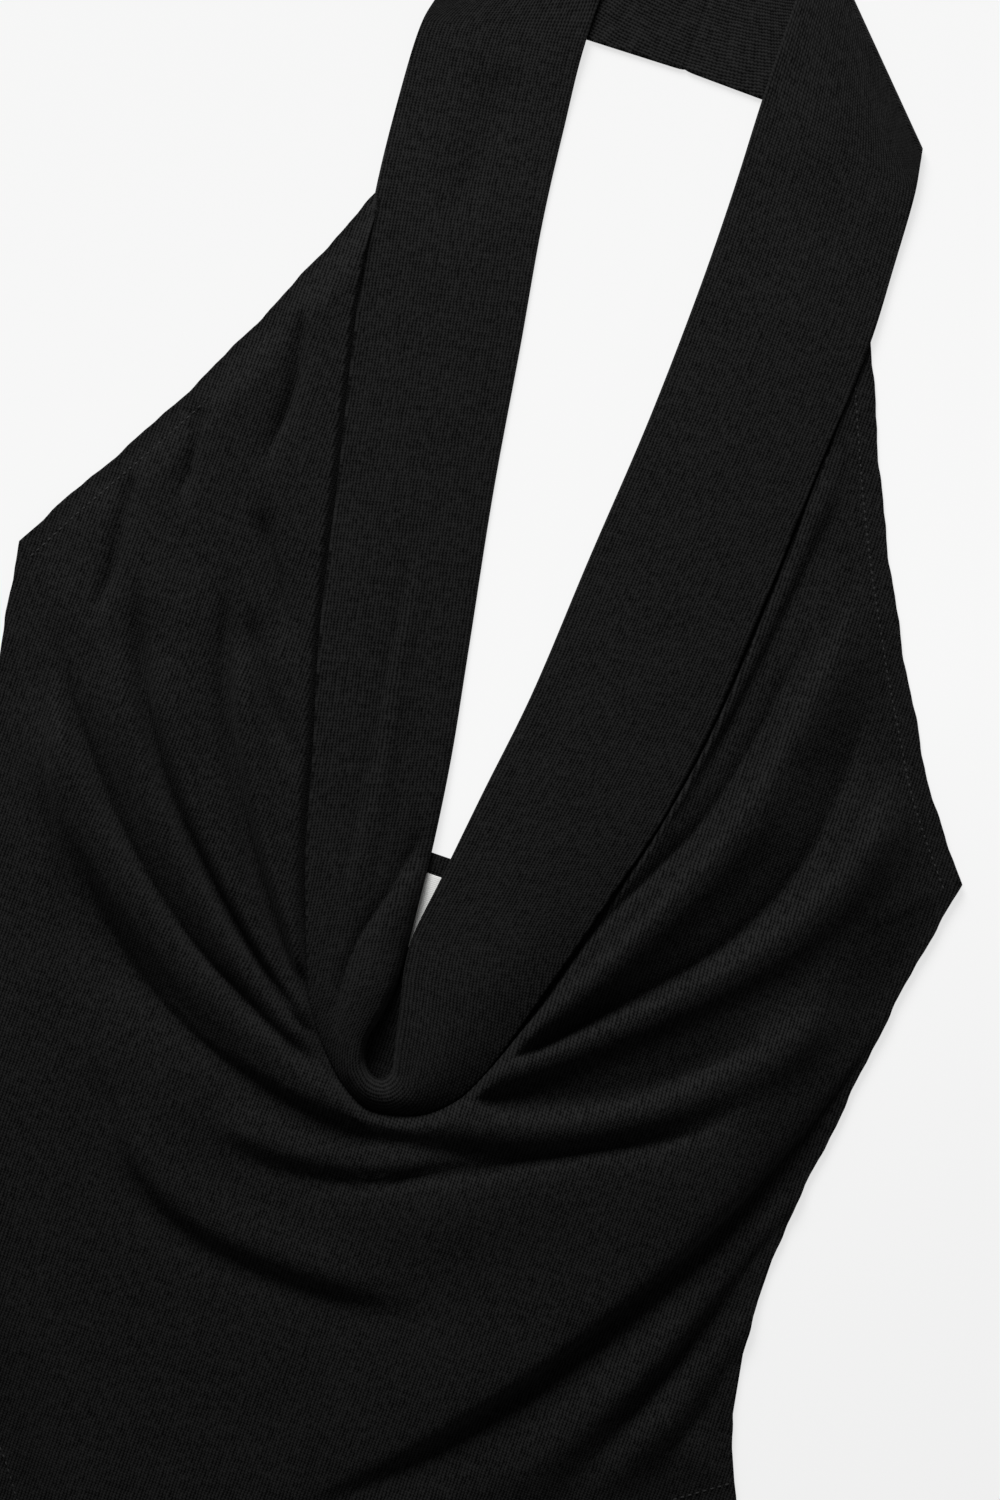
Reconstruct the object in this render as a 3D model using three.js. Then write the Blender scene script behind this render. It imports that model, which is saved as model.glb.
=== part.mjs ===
// A halter bodysuit in black jersey, laid flat on its back with the front up.
// Five pieces: front panel with its cowl folds, back panel, binding on the back's top edge,
// a doubled neck band folded over at both shoulders, and a woven label.
// Millimetres. +X is the viewer's right, +Y runs up towards the neck, +Z is up off the table.
import * as THREE from 'three';

// ---- Driving sizes ----
const CLOTH = 1.2; // one layer of jersey
const BACK_CLOTH = 1.0; // the back panel, pressed flat
const BAND = 2.0; // the neck band, two layers thick
const GAP = 0.3; // between pieces at seams and between layers
const UNDERARM_Y = 52.6; // the underarm line above the middle of the garment's length
const HALF_BUST = 195; // half the flat width at the underarm
const TUCK = 10; // how far the front panel runs in under the neck band
const TUCK_SHARE = 0.55; // and at most this share of the band's width, at the foot of the cowl
const PRESS_REACH = 24; // over this distance the front comes down to its seam with the band
const FOLD_AIR = 0.2; // half the air inside the band's fold at a shoulder
const BACK_DIP = -58; // middle of the back's top edge, from the underarm line
const BACK_SIDE = -6; // the same edge at the side seams
const BINDING_WIDTH = 6;
const CENTRE_BACK_X = -10; // seam that closes the neck band
const BAND_TOP = 328.5; // upper edge of the band behind the neck
const BAND_FOOT = 263; // lower edge of the band behind the neck
const CROTCH_Y = -434;
const CROTCH_HALF = 38;
const GUSSET_TURN = 36; // how far the back panel turns up over the front at the crotch
const SCOOP_FOOT = -200; // height at which the scoop of the back's rows has died out
const LEG_FULLNESS = 11; // how much fuller the back panel is at the middle of the leg edge
const LABEL = { width: 44, height: 30, thickness: 1.0, top: -66 };

// ---- Outline, in x and y from the middle of the underarm line ----
// Armhole edges from under the neck band down to the underarm corners.
const ARMHOLE = [
  { leftX: -99, leftY: 200, rightX: 82, rightY: 212 },
  { leftX: -108, leftY: 178, rightX: 92, rightY: 188 },
  { leftX: -132, leftY: 122, rightX: 109, rightY: 147 },
  { leftX: -156, leftY: 73, rightX: 144, rightY: 75 },
  { leftX: -183, leftY: 26, rightX: 173, rightY: 25 },
  { leftX: -HALF_BUST, leftY: 4, rightX: HALF_BUST, rightY: -3 },
];
// Side seams below the underarm corners: half widths.
const SIDE = [
  { half: 189, y: -33 },
  { half: 184, y: -65 },
  { half: 179, y: -106 },
  { half: 173, y: -155 },
  { half: 173, y: -196 },
  { half: 179, y: -232 },
  { half: 190, y: -258 },
];
// Leg edges from the side seams down to the crotch: half widths.
const LEG = [
  { half: 190, y: -258 },
  { half: 177, y: -267 },
  { half: 135, y: -298 },
  { half: 92, y: -337 },
  { half: 62, y: -383 },
  { half: 50, y: -408 },
  { half: CROTCH_HALF, y: CROTCH_Y },
];

// ---- Neck band, station by station from the left shoulder fold round to the right one ----
// Neck-side edge, body-side edge, height of each edge's underside, and crown between them.
const BAND_STATIONS = [
  { inX: -48.5, inY: 328.5, outX: -109.5, outY: 260.5, inZ: 2.4, outZ: 2.4, crown: 0 },
  { inX: -51, inY: 262, outX: -112, outY: 247, inZ: 2.4, outZ: 2.4, crown: 0 },
  { inX: -48, inY: 225, outX: -111, outY: 214, inZ: 0.2, outZ: 1.4, crown: 0.4 },
  { inX: -44, inY: 188, outX: -107, outY: 173, inZ: 0.1, outZ: 1.9, crown: 1.0 },
  { inX: -36.5, inY: 140, outX: -98, outY: 125, inZ: 0.1, outZ: 1.9, crown: 1.2 },
  { inX: -28, inY: 83, outX: -85, outY: 68, inZ: 0.1, outZ: 2.0, crown: 1.3 },
  { inX: -17, inY: 21, outX: -72, outY: 8, inZ: 0.3, outZ: 3.2, crown: 1.5 },
  { inX: -9.5, inY: -22, outX: -59, outY: -38, inZ: 1.6, outZ: 4.2, crown: 1.8 },
  { inX: -5, inY: -57, outX: -49, outY: -75, inZ: 3.2, outZ: 4.6, crown: 2.6 },
  { inX: -3, inY: -80, outX: -41, outY: -98, inZ: 4.6, outZ: 4.8, crown: 3.6 },
  { inX: -1.7, inY: -97, outX: -35, outY: -114, inZ: 6.0, outZ: 5.0, crown: 4.0 },
  { inX: -1.2, inY: -112, outX: -29, outY: -128, inZ: 6.6, outZ: 5.0, crown: 3.8 },
  { inX: -3.2, inY: -124, outX: -22, outY: -138, inZ: 6.8, outZ: 5.0, crown: 3.4 },
  { inX: -6, inY: -134, outX: -14, outY: -147, inZ: 6.8, outZ: 5.0, crown: 2.6 },
  { inX: -4, inY: -143, outX: -6, outY: -154, inZ: 6.8, outZ: 5.0, crown: 2.0 },
  { inX: 1, inY: -148, outX: 4, outY: -159, inZ: 6.8, outZ: 5.0, crown: 1.8 },
  { inX: 7, inY: -148.5, outX: 15, outY: -158, inZ: 6.6, outZ: 5.0, crown: 2.0 },
  { inX: 10.8, inY: -144, outX: 26, outY: -154, inZ: 6.2, outZ: 5.0, crown: 2.6 },
  { inX: 10.6, inY: -137, outX: 34, outY: -147, inZ: 5.6, outZ: 5.0, crown: 3.2 },
  { inX: 9.2, inY: -131, outX: 40, outY: -138, inZ: 5.2, outZ: 5.0, crown: 3.6 },
  { inX: 9.4, inY: -123, outX: 45, outY: -126, inZ: 4.8, outZ: 5.0, crown: 3.8 },
  { inX: 6.6, inY: -114, outX: 49.5, outY: -112, inZ: 4.4, outZ: 5.0, crown: 3.8 },
  { inX: 2.4, inY: -105, outX: 54, outY: -96, inZ: 4.0, outZ: 5.0, crown: 3.6 },
  { inX: 0.4, inY: -92, outX: 59.5, outY: -77, inZ: 3.6, outZ: 4.8, crown: 3.0 },
  { inX: 3.6, inY: -66, outX: 67, outY: -50, inZ: 3.2, outZ: 4.6, crown: 2.2 },
  { inX: 8, inY: -30, outX: 75.5, outY: -18, inZ: 1.6, outZ: 4.0, crown: 1.8 },
  { inX: 13.5, inY: 12, outX: 82, outY: 22, inZ: 0.3, outZ: 3.0, crown: 1.5 },
  { inX: 17.5, inY: 70, outX: 86, outY: 78, inZ: 0.1, outZ: 2.0, crown: 1.3 },
  { inX: 22, inY: 130, outX: 89, outY: 135, inZ: 0.1, outZ: 1.9, crown: 1.2 },
  { inX: 24, inY: 186, outX: 92, outY: 184, inZ: 0.1, outZ: 1.9, crown: 1.0 },
  { inX: 24, inY: 225, outX: 91, outY: 217, inZ: 0.2, outZ: 1.4, crown: 0.4 },
  { inX: 23, inY: 262, outX: 89.5, outY: 246, inZ: 2.4, outZ: 2.4, crown: 0 },
  { inX: 22.5, inY: 328.5, outX: 87.5, outY: 260.5, inZ: 2.4, outZ: 2.4, crown: 0 },
];
// Band stations that the front panel's corners hang from, in order round the neck.
const SEAM_STATION = {
  leftArmholeTop: 2.45,
  leftUnderarm: 10.6,
  leftHip: 13,
  leftCrotch: 14.5,
  rightCrotch: 15.6,
  rightHip: 17.2,
  rightUnderarm: 20.4,
  rightArmholeTop: 29.55,
};

// ---- Cowl folds: crest lines with a rise and a width on each hand of the way they run ----
const FOLDS = [
  { name: 'beside the band, right', rise: 4.5, left: 8, right: 8,
    path: [[118, 100], [112, 55], [102, 5], [86, -42], [68, -78], [50, -110]] },
  { name: 'upper right drape', rise: 7.0, left: 9, right: 9,
    path: [[150, 42], [149, 0], [136, -38], [110, -78], [80, -108], [50, -132]] },
  { name: 'middle right drape', rise: 7.5, left: 9, right: 10,
    path: [[180, -55], [152, -84], [128, -108], [92, -134], [55, -152], [20, -163]] },
  { name: 'under the cowl', rise: 4.0, left: 22, right: 10,
    path: [[165, -105], [130, -145], [85, -178], [30, -203], [-30, -205]] },
  { name: 'long diagonal from the right side', rise: 4.5, left: 8, right: 30,
    path: [[180, -80], [160, -128], [136, -170], [98, -222], [45, -278], [-10, -308]] },
  { name: 'short diagonal at the right hip', rise: 3.2, left: 6, right: 12,
    path: [[176, -148], [160, -184], [140, -222], [108, -278]] },
  { name: 'left swag', rise: 6.5, left: 9, right: 8,
    path: [[-160, -52], [-130, -92], [-95, -120], [-55, -143], [-15, -156]] },
  { name: 'outer left drape', rise: 3.8, left: 7, right: 7,
    path: [[-150, -28], [-130, -62], [-100, -98], [-70, -122], [-46, -136]] },
  { name: 'middle left drape', rise: 4.2, left: 7, right: 7,
    path: [[-128, -2], [-112, -36], [-88, -74], [-64, -102], [-42, -122]] },
  { name: 'inner left drape', rise: 3.6, left: 7, right: 7,
    path: [[-102, 28], [-90, -18], [-75, -55], [-58, -88]] },
  { name: 'second swag', rise: 2.8, left: 8, right: 8,
    path: [[-68, -170], [-30, -178], [34, -176]] },
  { name: 'low left crease', rise: 3.0, left: 15, right: 7,
    path: [[-112, -162], [-92, -190], [-58, -214], [-18, -224], [22, -225]] },
];
const FOLD_FADE = 0.22; // share of each fold's length over which it dies away at either end
const FOLD_STEPS = 14; // straight steps along each crest
const REST_BACK = 1.6; // underside of the front panel where it lies on the back panel
const REST_START = 60; // above the back's top edge, where the front panel begins to lift
const REST_FULL = 26; // above the same edge, where it has its full lift
const PUFF = 2.4; // slack air between the panels away from the edges
const PUFF_REACH = 26; // distance from the edges over which the slack builds up
const EDGE_KEEP = 0.3; // share of a fold's rise that is left at the cut edges
const TABLE_KEEP = 0.4; // share of slack and folds that is left where the panel is on the table

// ---- Mesh sizes ----
const ACROSS_FRONT = { armhole: 20, side: 15, leg: 6, crotch: 4 };
const DOWN_FRONT = 17;
const BAND_STEPS_PER_STATION = 2;
const BAND_ACROSS = 5;
const FOLD_TURN_STEPS = 4;
const BACK_ACROSS = 12;
const BACK_ROWS = { side: 10, leg: 12 };
const LEG_ROW_SPREAD = 1.5; // above 1, the back's rows crowd together below the side seams

function smoothstep(from, to, value) {
  const t = Math.min(Math.max((value - from) / (to - from), 0), 1);
  return t * t * (3 - 2 * t);
}

// A closed wall between two grids of points, rows by columns: the face and the reverse.
// Each cell is split along the diagonal that rises least, so that creases stay smooth.
function wallGeometry(face, reverse) {
  const rows = face.length;
  const columns = face[0].length;
  const positions = [...face.flat(), ...reverse.flat()].flatMap((p) => [p.x, p.y, p.z]);
  const faceAt = (i, j) => i * columns + j;
  const reverseAt = (i, j) => rows * columns + i * columns + j;
  const indices = [];
  const quad = (a, b, c, d) => indices.push(a, b, c, a, c, d);
  const rise = (p, q) => Math.abs(p.z - q.z);
  for (let i = 0; i < rows - 1; i += 1) {
    for (let j = 0; j < columns - 1; j += 1) {
      const straight = rise(face[i][j], face[i + 1][j + 1]);
      const crossed = rise(face[i][j + 1], face[i + 1][j]);
      const ring = [[i, j], [i, j + 1], [i + 1, j + 1], [i + 1, j]];
      if (crossed < straight) ring.push(ring.shift());
      quad(...ring.map(([row, column]) => faceAt(row, column)));
      quad(...ring.map(([row, column]) => reverseAt(row, column)).reverse());
    }
    quad(faceAt(i, 0), faceAt(i + 1, 0), reverseAt(i + 1, 0), reverseAt(i, 0));
    const last = columns - 1;
    quad(faceAt(i + 1, last), faceAt(i, last), reverseAt(i, last), reverseAt(i + 1, last));
  }
  for (let j = 0; j < columns - 1; j += 1) {
    quad(faceAt(0, j + 1), faceAt(0, j), reverseAt(0, j), reverseAt(0, j + 1));
    const last = rows - 1;
    quad(faceAt(last, j), faceAt(last, j + 1), reverseAt(last, j + 1), reverseAt(last, j));
  }
  const geometry = new THREE.BufferGeometry();
  geometry.setAttribute('position', new THREE.Float32BufferAttribute(positions, 3));
  geometry.setIndex(facingOut(positions, indices));
  geometry.computeVertexNormals();
  return geometry;
}

// The same triangles, all turned round if the wall they close came out inside out.
function facingOut(positions, indices) {
  const corner = (k) => new THREE.Vector3().fromArray(positions, 3 * indices[k]);
  let volume = 0;
  for (let k = 0; k < indices.length; k += 3) {
    volume += corner(k).dot(corner(k + 1).cross(corner(k + 2)));
  }
  if (volume > 0) return indices;
  const turned = [];
  for (let k = 0; k < indices.length; k += 3) {
    turned.push(indices[k], indices[k + 2], indices[k + 1]);
  }
  return turned;
}

function curveThrough(points) {
  const corners = points.map(([x, y]) => new THREE.Vector3(x, y, 0));
  return new THREE.CatmullRomCurve3(corners, false, 'centripetal');
}

// ---- Outline ----
const leftArmhole = curveThrough(ARMHOLE.map((row) => [row.leftX, row.leftY]));
const rightArmhole = curveThrough(ARMHOLE.map((row) => [row.rightX, row.rightY]));
const cornerY = { left: ARMHOLE.at(-1).leftY, right: ARMHOLE.at(-1).rightY };

function sideCurve(hand) {
  const sign = hand === 'left' ? -1 : 1;
  const seam = SIDE.map((row) => [sign * row.half, row.y]);
  return curveThrough([[sign * HALF_BUST, cornerY[hand]], ...seam]);
}

function legCurve(hand, rows) {
  const sign = hand === 'left' ? -1 : 1;
  return curveThrough(rows.map((row) => [sign * row.half, row.y]));
}

// Half width of a table of rows at a height, straight between its rows.
function halfAt(rows, y) {
  const next = rows.findIndex((row) => row.y <= y);
  if (next <= 0) return rows.at(next).half;
  const above = rows[next - 1];
  const below = rows[next];
  return THREE.MathUtils.mapLinear(y, above.y, below.y, above.half, below.half);
}

function backTopY(x) {
  return BACK_DIP + (BACK_SIDE - BACK_DIP) * (x / HALF_BUST) ** 2;
}

// ---- Neck band ----
const bandInner = curveThrough(BAND_STATIONS.map((row) => [row.inX, row.inY]));
const bandOuter = curveThrough(BAND_STATIONS.map((row) => [row.outX, row.outY]));

function bandValue(name, station) {
  const first = Math.min(Math.floor(station), BAND_STATIONS.length - 2);
  const share = station - first;
  return THREE.MathUtils.lerp(BAND_STATIONS[first][name], BAND_STATIONS[first + 1][name], share);
}

// A point on the band's underside: across runs from 0 at the neck edge to 1 at the body edge.
function bandPoint(station, across) {
  const along = station / (BAND_STATIONS.length - 1);
  const point = bandInner.getPoint(along).lerp(bandOuter.getPoint(along), across);
  const edges = THREE.MathUtils.lerp(bandValue('inZ', station), bandValue('outZ', station), across);
  point.z = edges + bandValue('crown', station) * Math.sin(Math.PI * across);
  return point;
}

// One row of points across the band where it turns over at a shoulder, angle 0 on the strap
// and pi behind the neck.
function bandTurnRow(station, angle) {
  const middle = FOLD_AIR + BAND;
  const ends = [bandPoint(station, 0), bandPoint(station, 1)];
  const crease = ends[1].clone().sub(ends[0]);
  const outward = new THREE.Vector3(-crease.y, crease.x, 0).normalize();
  if (outward.y < 0) outward.negate();
  const row = { face: [], reverse: [] };
  for (let j = 0; j <= BAND_ACROSS; j += 1) {
    const onCrease = ends[0].clone().lerp(ends[1], j / BAND_ACROSS).setZ(0);
    for (const [side, radius] of [['face', FOLD_AIR + BAND], ['reverse', FOLD_AIR]]) {
      const point = onCrease.clone().addScaledVector(outward, radius * Math.sin(angle));
      row[side].push(point.setZ(middle + radius * Math.cos(angle)));
    }
  }
  return row;
}

// One row at the centre-back seam, lying on the table behind the neck.
function bandEndRow(hand) {
  const x = CENTRE_BACK_X + (hand === 'left' ? -GAP / 2 : GAP / 2);
  const row = { face: [], reverse: [] };
  for (let j = 0; j <= BAND_ACROSS; j += 1) {
    const y = THREE.MathUtils.lerp(BAND_TOP, BAND_FOOT, j / BAND_ACROSS);
    row.face.push(new THREE.Vector3(x, y, 0));
    row.reverse.push(new THREE.Vector3(x, y, BAND));
  }
  return row;
}

function bandShoulderRows(hand) {
  const station = hand === 'left' ? 0 : BAND_STATIONS.length - 1;
  const rows = [bandEndRow(hand)];
  for (let k = 0; k <= FOLD_TURN_STEPS; k += 1) {
    rows.push(bandTurnRow(station, Math.PI * (1 - k / FOLD_TURN_STEPS)));
  }
  return hand === 'left' ? rows : rows.reverse();
}

function neckBandGeometry() {
  const strapRows = [];
  const steps = (BAND_STATIONS.length - 1) * BAND_STEPS_PER_STATION;
  for (let k = 1; k < steps; k += 1) {
    const row = { face: [], reverse: [] };
    for (let j = 0; j <= BAND_ACROSS; j += 1) {
      const point = bandPoint(k / BAND_STEPS_PER_STATION, j / BAND_ACROSS);
      row.reverse.push(point);
      row.face.push(point.clone().setZ(point.z + BAND));
    }
    strapRows.push(row);
  }
  const rows = [...bandShoulderRows('left'), ...strapRows, ...bandShoulderRows('right')];
  return wallGeometry(rows.map((row) => row.face), rows.map((row) => row.reverse));
}

// ---- Front panel ----
const foldCrests = FOLDS.map((fold) => curveThrough(fold.path).getSpacedPoints(FOLD_STEPS));

// Height that one fold adds at a point: a soft ridge, wider on one hand than on the other.
function foldRise(fold, crest, x, y) {
  let best = { distance: Infinity, signed: 0, along: 0 };
  for (let k = 0; k < FOLD_STEPS; k += 1) {
    const a = crest[k];
    const dx = crest[k + 1].x - a.x;
    const dy = crest[k + 1].y - a.y;
    const share = ((x - a.x) * dx + (y - a.y) * dy) / (dx * dx + dy * dy);
    const t = Math.min(Math.max(share, 0), 1);
    const distance = Math.hypot(x - a.x - t * dx, y - a.y - t * dy);
    if (distance < best.distance) {
      const turn = Math.sign(dx * (y - a.y) - dy * (x - a.x));
      best = { distance, signed: turn * distance, along: (k + t) / FOLD_STEPS };
    }
  }
  const width = best.signed > 0 ? fold.left : fold.right;
  const ends = smoothstep(0, FOLD_FADE, best.along) * smoothstep(1, 1 - FOLD_FADE / 2, best.along);
  return fold.rise * ends * Math.exp(-((best.distance / width) ** 2));
}

// Underside height where the front panel rests: on the table above the back panel's top
// edge, and on the back panel below it.
function restHeight(x, y) {
  return REST_BACK * smoothstep(REST_START, REST_FULL, y - backTopY(x));
}

function frontTop(x, y, fromEdge) {
  const slack = PUFF * smoothstep(0, PUFF_REACH, fromEdge);
  const keep = EDGE_KEEP + (1 - EDGE_KEEP) * smoothstep(0, PUFF_REACH, fromEdge);
  const folds = FOLDS.reduce((sum, fold, k) => sum + foldRise(fold, foldCrests[k], x, y), 0);
  const overTable = smoothstep(REST_FULL, REST_START, y - backTopY(x));
  const onTable = THREE.MathUtils.lerp(1, TABLE_KEEP, overTable);
  return restHeight(x, y) + CLOTH + (slack + folds * keep) * onTable;
}

// The cut edge all round, from the left armhole's top to the right armhole's, and with each
// point the band station that its column of the wall runs up to.
function frontColumns() {
  const seamY = CROTCH_Y + GUSSET_TURN + GAP;
  const legRows = LEG.filter((row) => row.y > seamY).concat({ half: halfAt(LEG, seamY), y: seamY });
  const crotchEnds = [-1, 1].map((sign) => [sign * legRows.at(-1).half, seamY]);
  const at = SEAM_STATION;
  const runs = [
    { curve: leftArmhole, count: ACROSS_FRONT.armhole, from: at.leftArmholeTop, to: at.leftUnderarm },
    { curve: sideCurve('left'), count: ACROSS_FRONT.side, from: at.leftUnderarm, to: at.leftHip },
    { curve: legCurve('left', legRows), count: ACROSS_FRONT.leg, from: at.leftHip, to: at.leftCrotch },
    { curve: curveThrough(crotchEnds), count: ACROSS_FRONT.crotch, from: at.leftCrotch, to: at.rightCrotch },
    { curve: legCurve('right', legRows), count: ACROSS_FRONT.leg, from: at.rightHip, to: at.rightCrotch },
    { curve: sideCurve('right'), count: ACROSS_FRONT.side, from: at.rightUnderarm, to: at.rightHip },
    { curve: rightArmhole, count: ACROSS_FRONT.armhole, from: at.rightArmholeTop, to: at.rightUnderarm },
  ];
  const columns = [];
  runs.forEach((run, index) => {
    const points = run.curve.getSpacedPoints(run.count);
    const steps = points.map((edge, k) => ({
      edge, station: THREE.MathUtils.lerp(run.from, run.to, k / run.count) }));
    if (run.to < run.from) steps.reverse();
    columns.push(...(index === 0 ? steps : steps.slice(1)));
  });
  return columns;
}

// Points of one column: from the cut edge to the band's outer edge, then in under the band.
function frontColumn({ edge, station }) {
  const bandEdge = bandPoint(station, 1);
  const width = bandPoint(station, 0).distanceTo(bandEdge);
  const tucked = bandPoint(station, 1 - Math.min(TUCK / width, TUCK_SHARE));
  const length = Math.hypot(bandEdge.x - edge.x, bandEdge.y - edge.y);
  const underBand = bandEdge.z - GAP;
  const column = [];
  for (let i = 0; i < DOWN_FRONT; i += 1) {
    const share = i / (DOWN_FRONT - 1);
    const x = THREE.MathUtils.lerp(edge.x, bandEdge.x, share);
    const y = THREE.MathUtils.lerp(edge.y, bandEdge.y, share);
    const pressed = smoothstep(Math.min(PRESS_REACH, length), 0, length * (1 - share));
    const free = frontTop(x, y, length * share);
    column.push(new THREE.Vector3(x, y, THREE.MathUtils.lerp(free, underBand, pressed)));
  }
  column.push(tucked.clone().setZ(Math.min(tucked.z, bandEdge.z) - GAP));
  return column;
}

function frontPanelGeometry() {
  const face = frontColumns().map(frontColumn);
  const reverse = face.map((column) => column.map((p) => p.clone().setZ(p.z - CLOTH)));
  return wallGeometry(face, reverse);
}

// ---- Back panel, binding and label ----
// Half width of the back panel: the front's side seams, then a fuller leg edge.
function backHalf(y) {
  if (y > SIDE.at(-1).y) {
    const corner = { half: HALF_BUST, y: 0 };
    return halfAt([corner, ...SIDE], y) - GAP;
  }
  const down = (y - SIDE.at(-1).y) / (CROTCH_Y - SIDE.at(-1).y);
  return halfAt(LEG, y) + LEG_FULLNESS * Math.sin(Math.PI * down);
}

function backRowYs() {
  const top = BACK_DIP - BINDING_WIDTH - GAP;
  const hip = SIDE.at(-1).y;
  const ys = [];
  for (let k = 0; k <= BACK_ROWS.side; k += 1) {
    ys.push(THREE.MathUtils.lerp(top, hip, k / BACK_ROWS.side));
  }
  for (let k = 1; k <= BACK_ROWS.leg; k += 1) {
    ys.push(THREE.MathUtils.lerp(hip, CROTCH_Y, (k / BACK_ROWS.leg) ** LEG_ROW_SPREAD));
  }
  return ys;
}

// A row of the back panel: the top row follows the scooped edge, and the scoop dies out
// below it.
function backRow(rowY) {
  const top = BACK_DIP - BINDING_WIDTH - GAP;
  const scoop = smoothstep(SCOOP_FOOT, top, rowY);
  const row = { face: [], reverse: [] };
  for (let j = 0; j <= BACK_ACROSS; j += 1) {
    const across = (2 * j) / BACK_ACROSS - 1;
    const lift = (BACK_SIDE - BACK_DIP) * across ** 2 * scoop;
    const x = across * backHalf(rowY + (BACK_SIDE - BACK_DIP) * scoop);
    row.face.push(new THREE.Vector3(x, rowY + lift, 0));
    row.reverse.push(new THREE.Vector3(x, rowY + lift, BACK_CLOTH));
  }
  return row;
}

// Rows that turn the back panel up over its own crotch end, to the seam with the front.
function gussetRows() {
  const foldGap = GAP / 2;
  const middle = BACK_CLOTH + foldGap;
  const rows = [];
  const rowAt = (half, y, out, radius) => {
    const row = { face: [], reverse: [] };
    for (let j = 0; j <= BACK_ACROSS; j += 1) {
      const x = half * ((2 * j) / BACK_ACROSS - 1);
      row.face.push(new THREE.Vector3(x, y - out * middle, radius(middle)));
      row.reverse.push(new THREE.Vector3(x, y - out * foldGap, radius(foldGap)));
    }
    return row;
  };
  for (let k = 1; k <= FOLD_TURN_STEPS; k += 1) {
    const angle = (Math.PI * k) / FOLD_TURN_STEPS;
    rows.push(rowAt(CROTCH_HALF, CROTCH_Y, Math.sin(angle), (r) => middle - r * Math.cos(angle)));
  }
  const seamY = CROTCH_Y + GUSSET_TURN;
  const seamHalf = halfAt(LEG, seamY);
  for (const share of [0.5, 1]) {
    const y = THREE.MathUtils.lerp(CROTCH_Y, seamY, share);
    const half = THREE.MathUtils.lerp(CROTCH_HALF, seamHalf, share);
    rows.push(rowAt(half, y, 0, (r) => middle + r));
  }
  return rows;
}

function backPanelGeometry() {
  const rows = [...backRowYs().map(backRow), ...gussetRows()];
  return wallGeometry(rows.map((row) => row.face), rows.map((row) => row.reverse));
}

// The binding runs along the panel's own top row, a seam's gap above it.
function bindingGeometry() {
  const panelTop = backRow(backRowYs()[0]).reverse;
  const columnAt = (z) => panelTop.map((p) => {
    const foot = p.y + GAP;
    return [foot + BINDING_WIDTH, foot].map((y) => new THREE.Vector3(p.x, y, z));
  });
  return wallGeometry(columnAt(BACK_CLOTH), columnAt(0));
}

function labelGeometry() {
  const geometry = new THREE.BoxGeometry(LABEL.width, LABEL.height, LABEL.thickness);
  const z = BACK_CLOTH + GAP + LABEL.thickness / 2;
  return geometry.translate(0, LABEL.top - LABEL.height / 2, z);
}

// ---- Materials and assembly ----
function jersey(color) {
  return new THREE.MeshStandardMaterial({ color, roughness: 0.9, metalness: 0 });
}

function piece(name, geometry, material) {
  const mesh = new THREE.Mesh(geometry, material);
  mesh.name = name;
  return mesh;
}

const bodysuit = new THREE.Group();
bodysuit.add(piece('back_panel', backPanelGeometry(), jersey('#141414')));
bodysuit.add(piece('back_edge_binding', bindingGeometry(), jersey('#121212')));
bodysuit.add(piece('label', labelGeometry(), jersey('#ececea')));
bodysuit.add(piece('front_panel', frontPanelGeometry(), jersey('#161616')));
bodysuit.add(piece('neck_band', neckBandGeometry(), jersey('#1a1a1a')));
bodysuit.position.y = UNDERARM_Y;

export default bodysuit;
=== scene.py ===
# %% [markdown]
# # A halter bodysuit in black jersey, laid flat
# The CAD model is loaded first and stays fixed. It says where every piece lies and how big it
# is. Each piece below is worked out again as a fine surface on the same sizes: front panel,
# back panel, binding, neck band, label and stitching. Lengths in the tables are millimetres,
# measured from the middle of the underarm line, and turn into metres as a mesh is made.

# %% Load the frame
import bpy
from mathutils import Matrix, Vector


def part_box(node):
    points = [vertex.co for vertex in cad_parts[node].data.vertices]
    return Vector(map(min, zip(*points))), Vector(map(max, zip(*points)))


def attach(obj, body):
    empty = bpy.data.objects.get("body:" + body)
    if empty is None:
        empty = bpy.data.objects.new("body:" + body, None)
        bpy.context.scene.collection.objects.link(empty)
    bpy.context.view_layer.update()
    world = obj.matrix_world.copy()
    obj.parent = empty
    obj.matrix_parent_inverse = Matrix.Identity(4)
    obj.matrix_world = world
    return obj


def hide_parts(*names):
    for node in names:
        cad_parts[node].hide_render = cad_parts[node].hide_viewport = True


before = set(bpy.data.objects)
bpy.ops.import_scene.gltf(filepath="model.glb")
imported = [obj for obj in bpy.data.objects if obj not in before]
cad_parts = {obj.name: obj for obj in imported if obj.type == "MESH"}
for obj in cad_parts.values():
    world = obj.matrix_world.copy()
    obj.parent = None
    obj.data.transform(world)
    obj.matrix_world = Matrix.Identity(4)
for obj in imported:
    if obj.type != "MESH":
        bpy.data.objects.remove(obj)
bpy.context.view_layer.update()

import bpy
import numpy as np
from mathutils import Vector

MM = 0.001
CROTCH_FOLD = 435.15  # from the underarm line down to the outside of the crotch fold
UNDERARM_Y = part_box("back_panel")[0][1] / MM + CROTCH_FOLD
HALF_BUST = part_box("front_panel")[1][0] / MM
LABEL_LOW = np.array(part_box("label")[0]) / MM
LABEL_HIGH = np.array(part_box("label")[1]) / MM
print("underarm line", round(UNDERARM_Y, 1), "half bust", round(HALF_BUST, 1))

# %% [markdown]
# ## The camera
# The garment lies on a table and is seen from straight above, turned a little clockwise. A
# long lens keeps the flat shape free of perspective. A camera high above the table with its
# up vector turned in the table's plane does both.

# %% Camera straight above the table
VIEW_CENTRE = (8.1, -11.6)
VIEW_HEIGHT = 585.0
VIEW_TURN = np.radians(19.0)
LENS = 100.0
SENSOR = 36.0


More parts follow.
